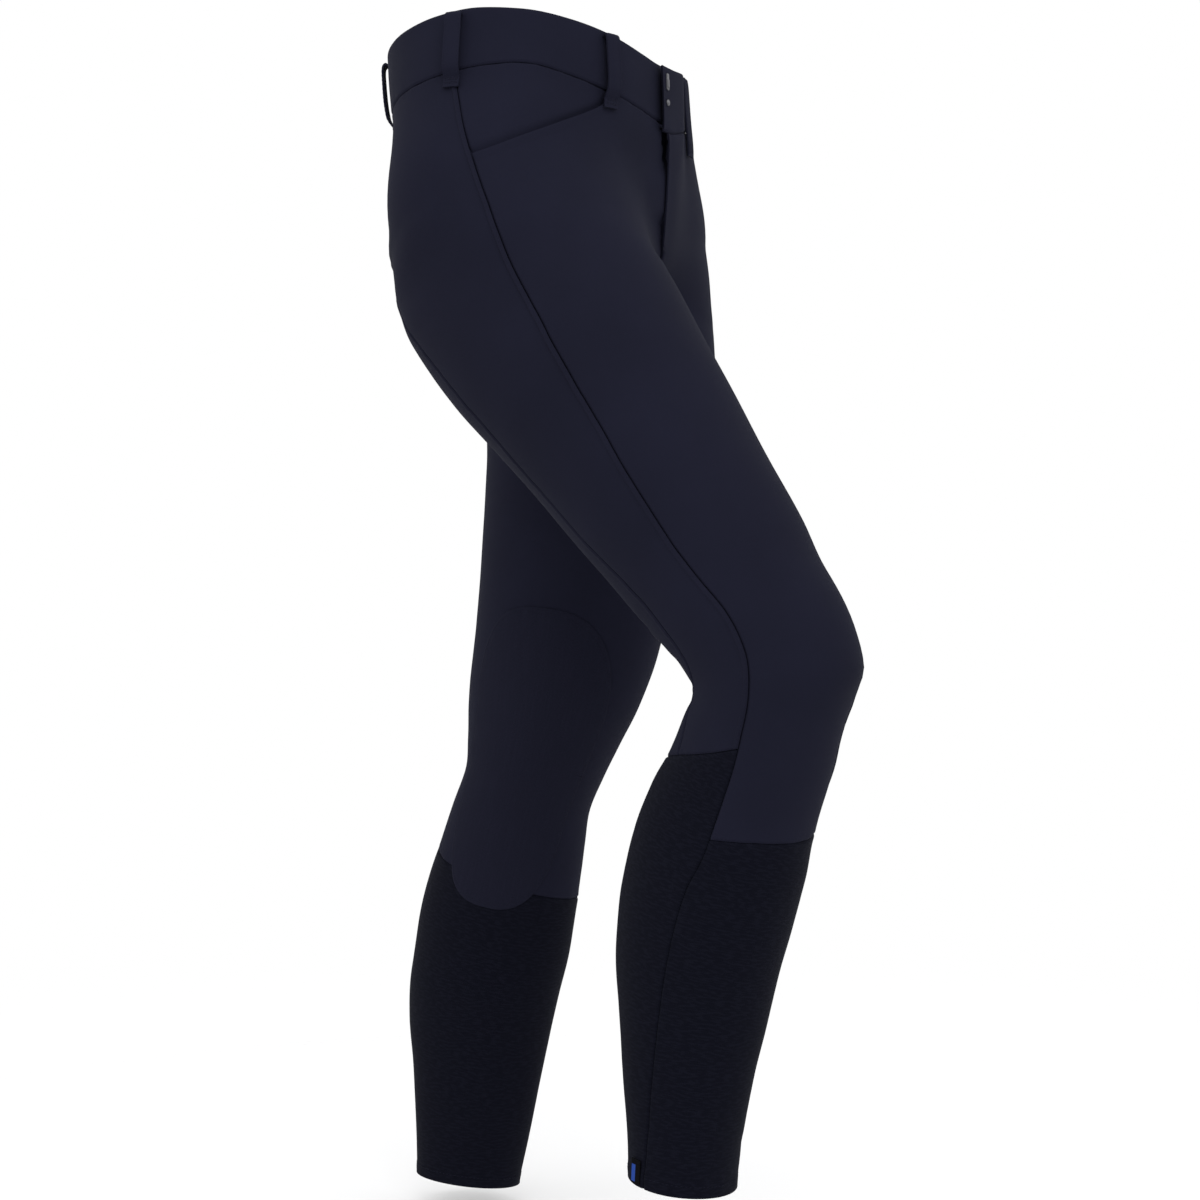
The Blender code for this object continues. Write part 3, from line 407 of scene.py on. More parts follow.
class Net:
    """A net of places in rows down the leg, with its points on the form and which way each faces."""

    def __init__(self, side, down, angle):
        self.side, self.down, self.angle = side, down, angle
        self.form = form_point(side, down, angle)
        self.out = form_outward(side, down, angle, self.form)

    @classmethod
    def between(cls, side, rows, columns, left, right, top, bottom, near_left=NEAR_SEAM, near_right=NEAR_SEAM):
        """A net between two seams and two edges, finest beside the seams."""
        from_top, level, from_bottom = (np.array(rows)[:, k, None] for k in range(3))
        share = np.linspace(0, 1, 41)[None, :]

        def placed(share):
            down = level + 0.05 * from_top + 0.65 * from_bottom + 0 * share
            for _ in range(8):
                start, end = left(down), right(down)
                angle = start + (end - start) * share
                down = from_top * top(angle) + level + from_bottom * bottom(angle)
            return down, angle

        p = form_point(side, *placed(share))
        run = np.concatenate([np.zeros((len(p), 1)), np.cumsum(np.linalg.norm(np.diff(p, axis=1), axis=-1), 1)], 1)
        near, far = np.array(near_left), np.array(near_right)[::-1]
        middle = np.linspace(0, 1, columns + 1)[1:-1]
        place = []
        for width in run[:, -1]:
            fit = min(1, 0.45 * width / max(near[-1], far[0]))
            a, b = near * fit, width - far * fit
            place.append(np.concatenate([a, a[-1] + (b[0] - a[-1]) * middle, b]))
        place = np.array(place)
        share = np.array([np.interp(place[i], run[i], share[0]) for i in range(len(run))])
        net = cls(side, *placed(share))
        net.from_left, net.from_right = place, run[:, -1:] - place
        step = np.linalg.norm(np.diff(net.form, axis=0), axis=-1)
        net.from_top = np.concatenate([np.zeros((1, step.shape[1])), np.cumsum(step, 0)], 0)
        net.from_bottom = net.from_top[-1:] - net.from_top
        return net

    def raise_wall(self, height, thickness, past_middle=0.0):
        """Outer and inner world points, the outer ones this far off the form with the cloth's creases."""
        allowed = np.where(np.asarray(past_middle) > 1e-6, -0.040, 0.00015)
        height = height + crease_height(self.form)
        layers = []
        for depth in (height, height - thickness):
            q = self.form + self.out * np.broadcast_to(depth, self.down.shape)[..., None]
            x = SIGN[self.side] * np.maximum(SIGN[self.side] * q[..., 0], allowed)
            layers.append(np.stack([x, -q[..., 1], q[..., 2]], -1))
        self.outer, self.inner = layers
        return self

    def beside(self, edge, distance, start=0.0, end=1.0):
        """The line this far inside one edge: its points, and which way the cloth faces there."""
        across = {"left": self.from_left, "right": self.from_right, "top": self.from_top, "bottom": self.from_bottom}
        away, points, facing = across[edge], self.outer, self.out * (1, -1, 1)
        if edge in ("top", "bottom"):
            away, points, facing = away.T, points.transpose(1, 0, 2), facing.transpose(1, 0, 2)
        if edge in ("right", "bottom"):
            away, points, facing = away[:, ::-1], points[:, ::-1], facing[:, ::-1]
        rows = range(round(start * (len(away) - 1)), round(end * (len(away) - 1)) + 1)
        line = [[np.interp(distance, away[i], v[i, :, k]) for v in (points, facing) for k in range(3)] for i in rows]
        line = np.array(line)
        return line[:, :3], line[:, 3:]


def plan_rows(level, top_edge, top_blend, bottom_blend, bottom_edge):
    """Rows as (share of the top edge, distance down, share of the bottom edge)."""
    rows = [(1, d, 0) for d in top_edge]
    if top_edge:
        shares = np.linspace(0, 1, top_blend + 1)[1:-1]
        rows += [(1 - k, top_edge[-1] * (1 - k) + level[0] * k, 0) for k in shares]
    rows += [(0, d, 0) for d in level]
    if bottom_edge:
        shares = np.linspace(0, 1, bottom_blend + 1)[1:-1]
        rows += [(0, level[-1] * (1 - k) - bottom_edge[-1] * k, k) for k in shares]
        rows += [(0, -d, 1) for d in bottom_edge[::-1]]
    return rows


def panel_rows(side):
    last = 0.592 + KNEE_DROP[side]
    kept = [CROTCH[side] - d for d in (0, 0.0012, 0.0030)] + ([0.152, 0.155, 0.158] if side == "left" else [])
    level = np.linspace(0.135, last, round((last - 0.135) / 0.0045) + 1)
    level = sorted([d for d in level if min(abs(d - k) for k in kept) > 0.0016] + kept)
    return plan_rows(level, NEAR_SEAM[:9], 10, 12, NEAR_SEAM[:9])


def seam_turn(distance, depth=0.0008):
    """The cloth turns down into a seam at its edge."""
    return -depth * np.exp(-((distance / 0.0010) ** 2))


def felled(distance, height, width=0.0024):
    """The narrow ridge of a felled seam's folded allowance, pressed down by its row of stitches."""
    ridge = height * (1 - ease(distance, width, width + 0.0014))
    return ridge - 0.00016 * np.exp(-(((distance - 0.6 * width) / 0.0006) ** 2))


def pucker(distance, along, reach=0.006, height=0.00016):
    """The small uneven gathers that a row of stitches leaves."""
    wave = np.sin(along / 0.0021 + 3 * np.sin(along / 0.013)) + np.sin(along / 0.0034 + 1.7)
    return height * wave * np.exp(-((distance / reach) ** 2))


def sewn(net, *edges, reach=0.006, height=0.00016, depth=0.0008):
    """The turned edge and the gathers along sewn edges of a net."""
    relief = 0
    for edge in edges:
        away = {"left": net.from_left, "right": net.from_right, "top": net.from_top, "bottom": net.from_bottom}[edge]
        along = net.down if edge in ("left", "right") else net.from_left
        relief = relief + seam_turn(away, depth) + pucker(away, along, reach, height)
    return relief


def cloth_wall(name, nets, eased=0.00035):
    """A closed wall from nets of outer and inner points, with the cut's own flat coordinates as its UV map."""
    bm = bmesh.new()
    inner_point = bm.verts.layers.float_vector.new("inner_point")
    flat_place = bm.verts.layers.float_vector.new("flat_place")
    for net in nets:
        rows, columns = net.outer.shape[0] - 1, net.outer.shape[1] - 1
        made = bmesh.ops.create_grid(bm, x_segments=columns, y_segments=rows, size=0.5)
        for v in made["verts"]:
            i, j = round((0.5 - v.co.y) * rows), round((0.5 + v.co.x) * columns)
            v.co = net.outer[i, j]
            v[inner_point] = Vector(net.inner[i, j])
            v[flat_place] = (net.from_left[i, j], -net.down[i, j], 0)
    bmesh.ops.remove_doubles(bm, verts=bm.verts, dist=0.00002)
    second = bmesh.ops.extrude_face_region(bm, geom=bm.verts[:] + bm.edges[:] + bm.faces[:], use_keep_orig=True)
    for v in second["geom"]:
        if isinstance(v, bmesh.types.BMVert):
            v.co = v[inner_point]
    return finished(name, bm, eased)


def finished(name, bm, edge=0.0, sharp=40):
    """Puts a mesh in the scene with its faces pointing out, its edges eased and its UV map in metres."""
    bmesh.ops.recalc_face_normals(bm, faces=bm.faces)
    mesh = bpy.data.meshes.new(name)
    bm.to_mesh(mesh)
    bm.free()
    mesh.shade_smooth()
    mesh.set_sharp_from_angle(angle=math.radians(sharp))
    if "flat_place" in mesh.attributes:
        place = np.zeros(len(mesh.vertices) * 3)
        mesh.attributes["flat_place"].data.foreach_get("vector", place)
        corner = np.zeros(len(mesh.loops), int)
        mesh.loops.foreach_get("vertex_index", corner)
        uv = mesh.uv_layers.new(name="cut")
        uv.data.foreach_set("uv", place.reshape(-1, 3)[corner][:, :2].ravel())
    piece = bpy.data.objects.new(name, mesh)
    bpy.context.scene.collection.objects.link(piece)
    if edge:
        bevel = piece.modifiers.new("eased edge", "BEVEL")
        bevel.width, bevel.segments, bevel.limit_method, bevel.angle_limit = edge, 2, "ANGLE", math.radians(62)
    return piece


class Shade:
    """A shader socket that Python sums work on."""

    def __init__(self, finish, socket):
        self.finish, self.socket = finish, socket

    def sum(self, operation, a, b):
        return self.finish.node("ShaderNodeMath", {"operation": operation}, {0: a, 1: b})

    def __add__(self, other): return self.sum("ADD", self, other)
    def __radd__(self, other): return self.sum("ADD", other, self)
    def __sub__(self, other): return self.sum("SUBTRACT", self, other)
    def __rsub__(self, other): return self.sum("SUBTRACT", other, self)
    def __mul__(self, other): return self.sum("MULTIPLY", self, other)
    def __rmul__(self, other): return self.sum("MULTIPLY", other, self)


class Finish:
    """A material whose nodes are added one by one, around its Principled shader."""

    def __init__(self, name, **constants):
        self.material = bpy.data.materials.new(name)
        self.material.use_nodes = True
        self.tree = self.material.node_tree
        self.shader = self.tree.nodes["Principled BSDF"]
        for socket, value in constants.items():
            self.shader.inputs[socket.replace("_", " ")].default_value = value

    def node(self, kind, settings, sockets, out=0):
        made = self.tree.nodes.new(kind)
        for key, value in settings.items():
            setattr(made, key, value)
        for key, value in sockets.items():
            self.put(made.inputs[key], value)
        return Shade(self, made.outputs[out])

    def put(self, socket, value):
        if isinstance(value, Shade):
            self.tree.links.new(value.socket, socket)
        else:
            socket.default_value = value

    def wave(self, value):
        """A sine of a sum, from -1 to 1."""
        return self.node("ShaderNodeMath", {"operation": "SINE"}, {0: value})

    def noise(self, place, scale, detail=2.0, stretch=(1, 1, 1)):
        spread = self.node("ShaderNodeMapping", {}, {"Vector": place, "Scale": stretch})
        return self.node("ShaderNodeTexNoise", {}, {"Vector": spread, "Scale": scale, "Detail": detail})

    def step(self, value, low, high):
        ends = {"Value": value, "From Min": low, "From Max": high}
        return self.node("ShaderNodeMapRange", {"interpolation_type": "SMOOTHSTEP"}, ends)

    def colour(self, factor, first, second):
        ends = {"Factor": factor, 6: (*first, 1), 7: (*second, 1)}
        return self.node("ShaderNodeMix", {"data_type": "RGBA"}, ends, out=2)

    def surface(self, colour=None, roughness=None, height=None, depth=0.001, strength=1.0):
        if colour is not None:
            self.put(self.shader.inputs["Base Color"], colour)
        if roughness is not None:
            self.put(self.shader.inputs["Roughness"], roughness)
        if height is not None:
            bump = self.node("ShaderNodeBump", {}, {"Strength": strength, "Distance": depth, "Height": height})
            self.put(self.shader.inputs["Normal"], bump)
        return self.material


def matt_cloth(name, sheen_roughness=0.5):
    """A matt cloth's material with a trace of sheen, and the flat coordinates of its cut."""
    cloth = Finish(name, Specular_IOR_Level=0.05, Sheen_Weight=0.01, Sheen_Roughness=sheen_roughness)
    cloth.put(cloth.shader.inputs["Sheen Tint"], (0.55, 0.60, 0.80, 1))
    return cloth, cloth.node("ShaderNodeUVMap", {"uv_map": "cut"}, {})


def twill_finish(name, dark, light):
    """Fine stretch twill: steep diagonal ribs 0.55 mm apart, a soft nap and a little unevenness in the dye."""
    twill, cut = matt_cloth(name, 0.45)
    place = twill.node("ShaderNodeTexCoord", {}, {}, out=3)
    split = twill.node("ShaderNodeSeparateXYZ", {}, {0: cut})
    across, down = split, Shade(twill, split.socket.node.outputs[1])
    ribs = twill.wave((across * 1.0 + down * 0.55) * (2 * math.pi / 0.00055))
    crossing = twill.wave((down * 1.0 - across * 0.3) * (2 * math.pi / 0.00042))
    weave = ribs * 0.35 + crossing * 0.15 + 0.5
    dye = twill.noise(place, 14, 3)
    nap = twill.noise(place, 1500, 2)
    mask = twill.step(weave * 0.30 + dye * 0.45 + nap * 0.25, 0.25, 0.80)
    return twill.surface(
        colour=twill.colour(mask, dark, light), roughness=0.84 + 0.10 * dye, height=weave * 0.7 + nap * 0.5,
        depth=0.00012, strength=0.6,
    )


def stitches(name, rows, finish_of):
    """Rows of short thread stitches on lines of (points, facings), as one mesh.

    Each row is (points, facings, pitch, stitch length, thread width).
    """
    bm = bmesh.new()
    for points, facings, pitch, length, width in rows:
        run = np.concatenate([[0], np.cumsum(np.linalg.norm(np.diff(points, axis=0), axis=1))])

        def at(distance, values, run=run):
            return Vector([np.interp(distance, run, values[:, k]) for k in range(3)])

        for middle in np.arange(pitch, run[-1] - pitch / 2, pitch):
            start, end = at(middle - length / 2, points), at(middle + length / 2, points)
            along, face = (end - start), at(middle, facings).normalized()
            if along.length < length / 3:
                continue
            side_way = face.cross(along).normalized()
            turn = Matrix((along.normalized() * length / 2, side_way * width / 2, face * width / 2)).transposed()
            place = Matrix.Translation((start + end) / 2 + face * width * 0.15) @ turn.to_4x4()
            bmesh.ops.create_icosphere(bm, subdivisions=1, radius=1, matrix=place)
    piece = finished(name, bm, sharp=80)
    piece.data.materials.append(finish_of)
    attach(piece, "root")
    return piece


def thread_finish(name, colour):
    thread = Finish(name, Roughness=0.80, Specular_IOR_Level=0.08)
    place = thread.node("ShaderNodeTexCoord", {}, {}, out=3)
    lighter = tuple(1.3 * c for c in colour)
    return thread.surface(colour=thread.colour(thread.noise(place, 900), colour, lighter))


twill_cloth = twill_finish("navy stretch twill", (0.0072, 0.0076, 0.0154), (0.0106, 0.0110, 0.0220))
navy_thread = thread_finish("navy thread", (0.0084, 0.0088, 0.0176))
TWILL_WALL = 0.0012
SEWN = (0.0034, 0.0024, 0.00034)  # pitch, stitch length, thread width

# Under the flap the right front is pressed in, from the middle out to these distances.
UNDER_FLAP_ROWS = (
    # down, distance from the middle
    (0.062, 0.018), (0.070, 0.011), (0.085, 0.006), (0.100, 0.002), (0.128, 0.001), (0.146, 0.003), (0.156, 0.004),
    (0.160, 0.000),
)
under_flap = smooth_line(UNDER_FLAP_ROWS, 1)
UNDER_FLAP_SINKS, BESIDE_FLAP_RISES = 0.0050, 0.0030
# Where the inner half begins across the panel's flat cut, for its weave.
INNER_CUT_BEGINS = 0.30
# The bar tack that ends the fly: rows, their distance apart, where they begin and end, and their stitches.
TACK_ROWS, TACK_APART, TACK_ENDS, TACK_STITCH = 5, 0.0006, (-0.0035, 0.0065), (0.0030, 0.0029, 0.0007)


def fly_underlap(down):
    """How far the right front runs on past the middle, behind the flap."""
    return 0.012 * (1 - ease(down, 0.095, 0.120))


for side in SIGN:
    lapped = side == "left"
    rows = panel_rows(side)
    front = Net.between(
        side, rows, 46, left=side_seam(side),
        right=lambda down: rise_angle(side, down, 1, fly_reach(down) if lapped else fly_underlap(down)),
        top=front_top(side), bottom=calf_top(side), near_right=(0, *NEAR_SEAM[1:]),
    )
    inner = Net.between(
        side, rows, 26, left=lambda down: rise_angle(side, down, 2), right=thigh_seam(side),
        top=band_edge(side, "bottom"), bottom=calf_top(side), near_left=(0, *NEAR_SEAM[1:]),
    )
    above_crotch = [1 - ease(net.down, CROTCH[side] - 0.012, CROTCH[side] - 0.001) for net in (front, inner)]
    reach = fly_reach(front.down) if lapped else fly_underlap(front.down)
    open_fly = lapped * (1 - ease(front.down, 0.150, 0.158))
    if lapped:
        lift = lap_lift(front.form[..., 0], front.down)
    else:
        covered = 1 - ease(front.from_right - reach - under_flap(front.down), -0.001, 0.002)
        lift = -UNDER_FLAP_SINKS * covered * (1 - ease(front.down, 0.088, 0.100))
        beside_flap = ease(front.down, 0.086, 0.112) * (1 - ease(front.down, 0.140, 0.158))
        lift = lift + BESIDE_FLAP_RISES * beside_flap * (1 - ease(front.from_right, 0.004, 0.034))
    pocket_edge = ease(front.angle, 37, 39) * (1 - ease(front.down, 0.125, 0.135))
    front.raise_wall(
        lift + sewn(front, "left", reach=0.004, height=0.00010, depth=0.0015)
        + sewn(front, "right") * above_crotch[0] * (1 - open_fly) + sewn(front, "top") * (1 - pocket_edge)
        + 0.0005 * pocket_edge * (1 - ease(front.from_top, 0.0010, 0.0060)) + sewn(front, "bottom"),
        TWILL_WALL, reach,
    )
    inner.raise_wall(
        felled(inner.from_right, 0.00045) + sewn(inner, "right", reach=0.007, depth=0.0009)
        + sewn(inner, "left") * above_crotch[1] + seam_turn(inner.from_top) + sewn(inner, "bottom"), TWILL_WALL,
    )
    inner.from_left = inner.from_left + INNER_CUT_BEGINS
    panel = cloth_wall(f"leg_panel_{side}", [front, inner])
    inner.from_left = inner.from_left - INNER_CUT_BEGINS
    panel.data.materials.append(twill_cloth)
    sewing = [
        (*inner.beside("right", 0.0015), *SEWN),
        (*front.beside("top", 0.0060, 0.0, 0.42), *SEWN),
        (*inner.beside("left", 0.0020, 0.0, 0.22), *SEWN),
    ]
    if lapped:
        tack = (front.down > 0.1545) & (front.down < 0.1600)
        middle = np.argwhere(tack & (front.from_right < 0.0060))[len(np.argwhere(tack)) // 40]
        centre, face = front.outer[middle[0], -1], front.out[middle[0], -1] * (1, -1, 1)
        level = np.cross(face, (0, 0, 1))
        level /= np.linalg.norm(level)
        for k in range(TACK_ROWS):
            up = np.array((0, 0, TACK_APART * (k - TACK_ROWS // 2)))
            bar = centre + np.linspace(*TACK_ENDS, 12)[:, None] * -level + up
            sewing.append((bar, np.tile(face, (12, 1)), *TACK_STITCH))
    threads = stitches(f"leg_panel_stitches_{side}", sewing, navy_thread)
    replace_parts(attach(panel, "root"), f"front_{side}")

# ---- Back panels -----------------------------------------------------------------------------------------------
# The back of each leg, between the side seam and the back-thigh seam, in the same twill. Its edge at the side seam
# is folded over the front's and felled narrow with one row of stitches, which leaves a low ridge down the leg.
for side in SIGN:
    back = Net.between(
        side, panel_rows(side), 30, left=thigh_seam(side), right=side_seam(side, turns=1),
        top=band_edge(side, "bottom"), bottom=calf_top(side),
    )
    ridge = 0.00135 - 0.00040 * ease(back.down, 0.22, 0.50)
    back.raise_wall(
        felled(back.from_right, ridge, 0.0030) + sewn(back, "left", reach=0.004, height=0.00010)
        + sewn(back, "right", reach=0.007, depth=0.0014) + sewn(back, "top", "bottom"), TWILL_WALL,
    )
    panel = cloth_wall(f"back_panel_{side}", [back])
    panel.data.materials.append(twill_cloth)
    threads = stitches(f"side_seam_stitches_{side}", [(*back.beside("right", 0.0015), *SEWN)], navy_thread)
    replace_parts(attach(panel, "root"), f"back_{side}")

# ---- Pocket facings --------------------------------------------------------------------------------------------
# The cloth behind each slanted hip pocket opening. It is sewn in at the waistband and the side seam, and drops
# behind the folded edge of the front.
for side in SIGN:
    rows = plan_rows([], NEAR_SEAM[:9], 0, 0, []) + [
        (1 - k, 0.0062 * (1 - k), k) for k in np.linspace(0, 1, 22)[1:]
    ]
    facing = Net.between(
        side, rows, 26, left=side_seam(side), right=lambda down: 32 + 0 * down,
        top=band_edge(side, "bottom"), bottom=lambda angle: POCKET_LINE(angle) + 0.0270,
    )
    above_line = POCKET_LINE(facing.angle) - facing.down
    dropped = 0.0016 * (1 - ease(above_line, 0.003, 0.033)) + 0.0026 * (1 - ease(above_line, 0.0002, 0.0070))
    facing.raise_wall(seam_turn(facing.from_left) + sewn(facing, "top") - dropped, TWILL_WALL)
    panel = cloth_wall(f"pocket_facing_cloth_{side}", [facing])
    panel.data.materials.append(twill_cloth)
    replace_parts(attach(panel, "root"), f"pocket_facing_{side}")

# ---- Waistband -------------------------------------------------------------------------------------------------
# Two shaped halves of doubled, interlined twill joined at the centre back. Each is folded along its top edge and
# sewn to the panels in a sunk seam, and the left end laps over the right at the front.
BAND_WALL, BAND_PROUD, BAND_HEIGHT = 0.0026, 0.0004, 0.0445
BAND_ENDS_PAST_MIDDLE = {"left": 0.022, "right": 0.020}
LAP_END_TURNED_UNDER = 0.0024
band_net = {}
for side in SIGN:
    reach = BAND_ENDS_PAST_MIDDLE[side]
    near_top, near_bottom = (0, 0.0012, 0.0024, 0.0040, 0.0060), NEAR_SEAM[:9]
    rows = [(1, d, 0) for d in near_top] + [
        (1 - k, 0.0060 * (1 - k) - 0.0062 * k, k) for k in np.linspace(0, 1, 10)[1:-1]
    ] + [(0, -d, 1) for d in near_bottom[::-1]]
    band = Net.between(
        side, rows, 110, left=lambda down: 180 + 0 * down,
        right=lambda down: rise_angle(side, down, 1, reach),
        top=band_edge(side, "top"), bottom=band_edge(side, "bottom"),
        near_right=(0, 0.0010, 0.0022, 0.0036, 0.0052),
    )
    lift = lap_lift(band.form[..., 0], band.down) if side == "left" else 0
    front_half = np.cos(np.radians(band.angle)) > 0
    band.raise_wall(
        BAND_PROUD + lift + sewn(band, "bottom", reach=0.009, depth=0.0010) + seam_turn(band.from_left)
        - 0.0006 * np.exp(-((band.from_top / 0.0011) ** 2))
        + 0.00025 * np.sin(band.from_top / BAND_HEIGHT * math.pi), BAND_WALL, front_half * reach,
    )
    if side == "left":
        band.inner[..., 0] += LAP_END_TURNED_UNDER * (1 - ease(band.from_right, 0.0, 0.0080))
    half = cloth_wall(f"waistband_cloth_{side}", [band], 0.0007)
    half.data.materials.append(twill_cloth)
    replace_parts(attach(half, "root"), f"waistband_{side}")
    band_net[side] = band

# ---- Seam allowances -------------------------------------------------------------------------------------------
# Strips of the panels' own cloth inside the garment, where the seams' overlocked edges are pressed flat: under each
# side seam, each back-thigh seam and the waistband's seam.
ALLOWANCE_WALL = 0.0009
ALLOWANCE_ENDS_PAST_MIDDLE = {"left": -0.014, "right": -0.024}


def add_allowance(name, net, height):
    net.raise_wall(height, ALLOWANCE_WALL)
    strip = cloth_wall(name, [net], 0.0002)
    strip.data.materials.append(twill_cloth)
    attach(strip, "root")


def half_width_round(down):
    """Half the width of a seam's pressed edges, in degrees round the leg."""
    return np.interp(down, (0.05, 0.25, 0.90), (2.1, 3.4, 5.8))


for side in SIGN:
    edge = (0, 0.0012)
    for seam, name, bottom, length in (
        (side_seam(side), "side", hem_line(side), 0.87),
        (thigh_seam(side), "thigh", lambda angle: calf_top(side)(angle) + 0.006, 0.57),
    ):
        run = np.linspace(0, 1, round(length / 0.0060))
        net = Net.between(
            side, [(1 - k, 0.0062 * (1 - k) - 0.0130 * k, k) for k in run], 5,
            left=lambda down: seam(down) + half_width_round(down),
            right=lambda down: seam(down) - half_width_round(down),
            top=band_edge(side, "bottom"), bottom=bottom, near_left=edge, near_right=edge,
        )
        depth = 0.0006 * ease(net.down, 0.150, 0.190) - 0.0036
        add_allowance(f"{name}_seam_allowance_{side}", net, depth)
    reach = ALLOWANCE_ENDS_PAST_MIDDLE[side]
    net = Net.between(
        side, [(1, d, 0) for d in (-0.0052, -0.0040, -0.0020, 0, 0.0020, 0.0040, 0.0052)], 110,
        left=lambda down: 180 + 0 * down, right=lambda down: rise_angle(side, down, 1, reach),
        top=band_edge(side, "bottom"), bottom=band_edge(side, "bottom"), near_left=edge, near_right=edge,
    )
    lift = lap_lift(net.form[..., 0], net.down) if side == "left" else 0
    add_allowance(f"band_seam_allowance_{side}", net, lift - 0.0038)

# ---- Calf panels -----------------------------------------------------------------------------------------------
# Darker rib knit that grips the calf: one piece round the leg, closed at the outer side seam in line with the
# leg's own, and turned under at the hem with a row of stitches.
def knit_finish(name, dark, light):
    """Fine rib knit with short faint dashes across the leg, in rows about 2.5 mm apart and of uneven lengths."""
    knit, cut = matt_cloth(name)
    dashes = knit.noise(cut, 1, 1.0, stretch=(150, 640, 1))
    second = knit.noise(cut, 1, 2.0, stretch=(330, 1100, 1))
    ribs = knit.node("ShaderNodeSeparateXYZ", {}, {0: cut})
    rib = knit.wave(ribs * (2 * math.pi / 0.0016)) * 0.5 + 0.5
    raised = knit.step(dashes, 0.42, 0.62)
    height = raised * 0.6 + second * 0.25 + rib * 0.15
    mask = knit.step(height, 0.25, 0.85)
    return knit.surface(
        colour=knit.colour(mask, dark, light), roughness=0.90 - 0.05 * raised, height=height, depth=0.00012,
        strength=0.5,
    )


knit_cloth = knit_finish("navy rib knit", (0.0028, 0.0031, 0.0068), (0.0040, 0.0044, 0.0092))
KNIT_WALL = 0.0011
for side in SIGN:
    first = 0.696 + KNEE_DROP[side]
    level = np.linspace(first, 0.860, round((0.860 - first) / 0.0045) + 1)
    near_hem = (0, 0.0015, 0.0030, 0.0050, 0.0070, 0.0084, 0.0091, 0.0096, 0.0100, 0.0112)
    calf = Net.between(
        side, plan_rows(level, NEAR_SEAM[:9], 14, 14, near_hem), 72, left=side_seam(side),
        right=side_seam(side, turns=1), top=calf_top(side), bottom=hem_line(side),
    )
    hem = hem_line(side)(calf.angle) - calf.down
    turned = 1 - ease(hem, 0.0091, 0.0100)
    calf.raise_wall(
        0.0004 * turned - 0.00025 * np.exp(-(((hem - 0.0082) / 0.0008) ** 2))
        + pucker(np.abs(hem - 0.0082), calf.from_left, 0.005, 0.00020)
        + sewn(calf, "left", "right", reach=0.005, depth=0.0010) + sewn(calf, "top"), KNIT_WALL + 0.0009 * turned,
    )
    panel = cloth_wall(f"calf_knit_{side}", [calf])
    panel.data.materials.append(knit_cloth)
    hem_row = calf.beside("bottom", 0.0082)
    threads = stitches(f"hem_stitches_{side}", [(*hem_row, *SEWN)], navy_thread)
    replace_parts(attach(panel, "root"), f"calf_{side}")

# ---- Knee patches ----------------------------------------------------------------------------------------------
# A rounded grip patch of brushed twill on the inner side of each knee, laid over the panel and the top of the calf
# and sewn down all round with one row of stitches.
PATCH_MIDDLE, PATCH_HALF_HEIGHT, PATCH_ANGLE, PATCH_HALF_ANGLE, PATCH_SQUARENESS = 0.5445, 0.128, -79, 54, 2.8


def brushed_finish(name, dark, light):
    """Brushed twill with faint pressed lines running down the leg."""
    nap_cloth, cut = matt_cloth(name)
    lines = nap_cloth.noise(cut, 1, 1.0, stretch=(420, 26, 1))
    nap = nap_cloth.noise(cut, 900, 3)
    pressed = nap_cloth.step(lines, 0.52, 0.62)
    mask = nap_cloth.step(nap * 0.94 + pressed * 0.06, 0.2, 0.8)
    return nap_cloth.surface(
        colour=nap_cloth.colour(mask, dark, light), roughness=0.84 + 0.08 * nap, height=nap * 0.4 - pressed * 0.2,
        depth=0.00012, strength=0.5,
    )


brushed_cloth = brushed_finish("navy brushed twill", (0.0068, 0.0072, 0.0145), (0.0100, 0.0103, 0.0204))
for side in SIGN:
    middle = PATCH_MIDDLE + KNEE_DROP[side]
    near_edge = (0.925, 0.945, 0.958, 0.968, 0.976, 0.984, 0.991, 0.996, 1.0)
    ring = np.array([*np.linspace(0.001, 0.90, 26), *near_edge])[:, None]
    turn = np.linspace(0, 2 * math.pi, 161)[None, :]
    up, out = np.sin(turn), np.cos(turn)
    size = (np.abs(up) ** PATCH_SQUARENESS + np.abs(out) ** PATCH_SQUARENESS) ** (-1 / PATCH_SQUARENESS)
    down = middle + ring * size * up * PATCH_HALF_HEIGHT
    patch = Net(side, down, PATCH_ANGLE + ring * size * out * PATCH_HALF_ANGLE)
    edge = (1 - ring) * 0.075 + 0 * turn
    patch.from_left = np.radians(patch.angle - PATCH_ANGLE) * 0.062
    patch.raise_wall(
        0.0013 + seam_turn(edge, 0.0006) - 0.00030 * np.exp(-(((edge - 0.0024) / 0.0007) ** 2))
        + pucker(np.abs(edge - 0.0024), turn * 0.09 + 0 * ring, 0.006, 0.00014), 0.0011,
    )
    piece = cloth_wall(f"knee_patch_cloth_{side}", [patch])
    piece.data.materials.append(brushed_cloth)
    row = np.argmin(np.abs(edge[:, 0] - 0.0024))
    threads = stitches(
        f"knee_patch_stitches_{side}", [(patch.outer[row], patch.out[row] * (1, -1, 1), *SEWN)], navy_thread
    )
    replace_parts(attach(piece, "root"), f"knee_patch_{side}")

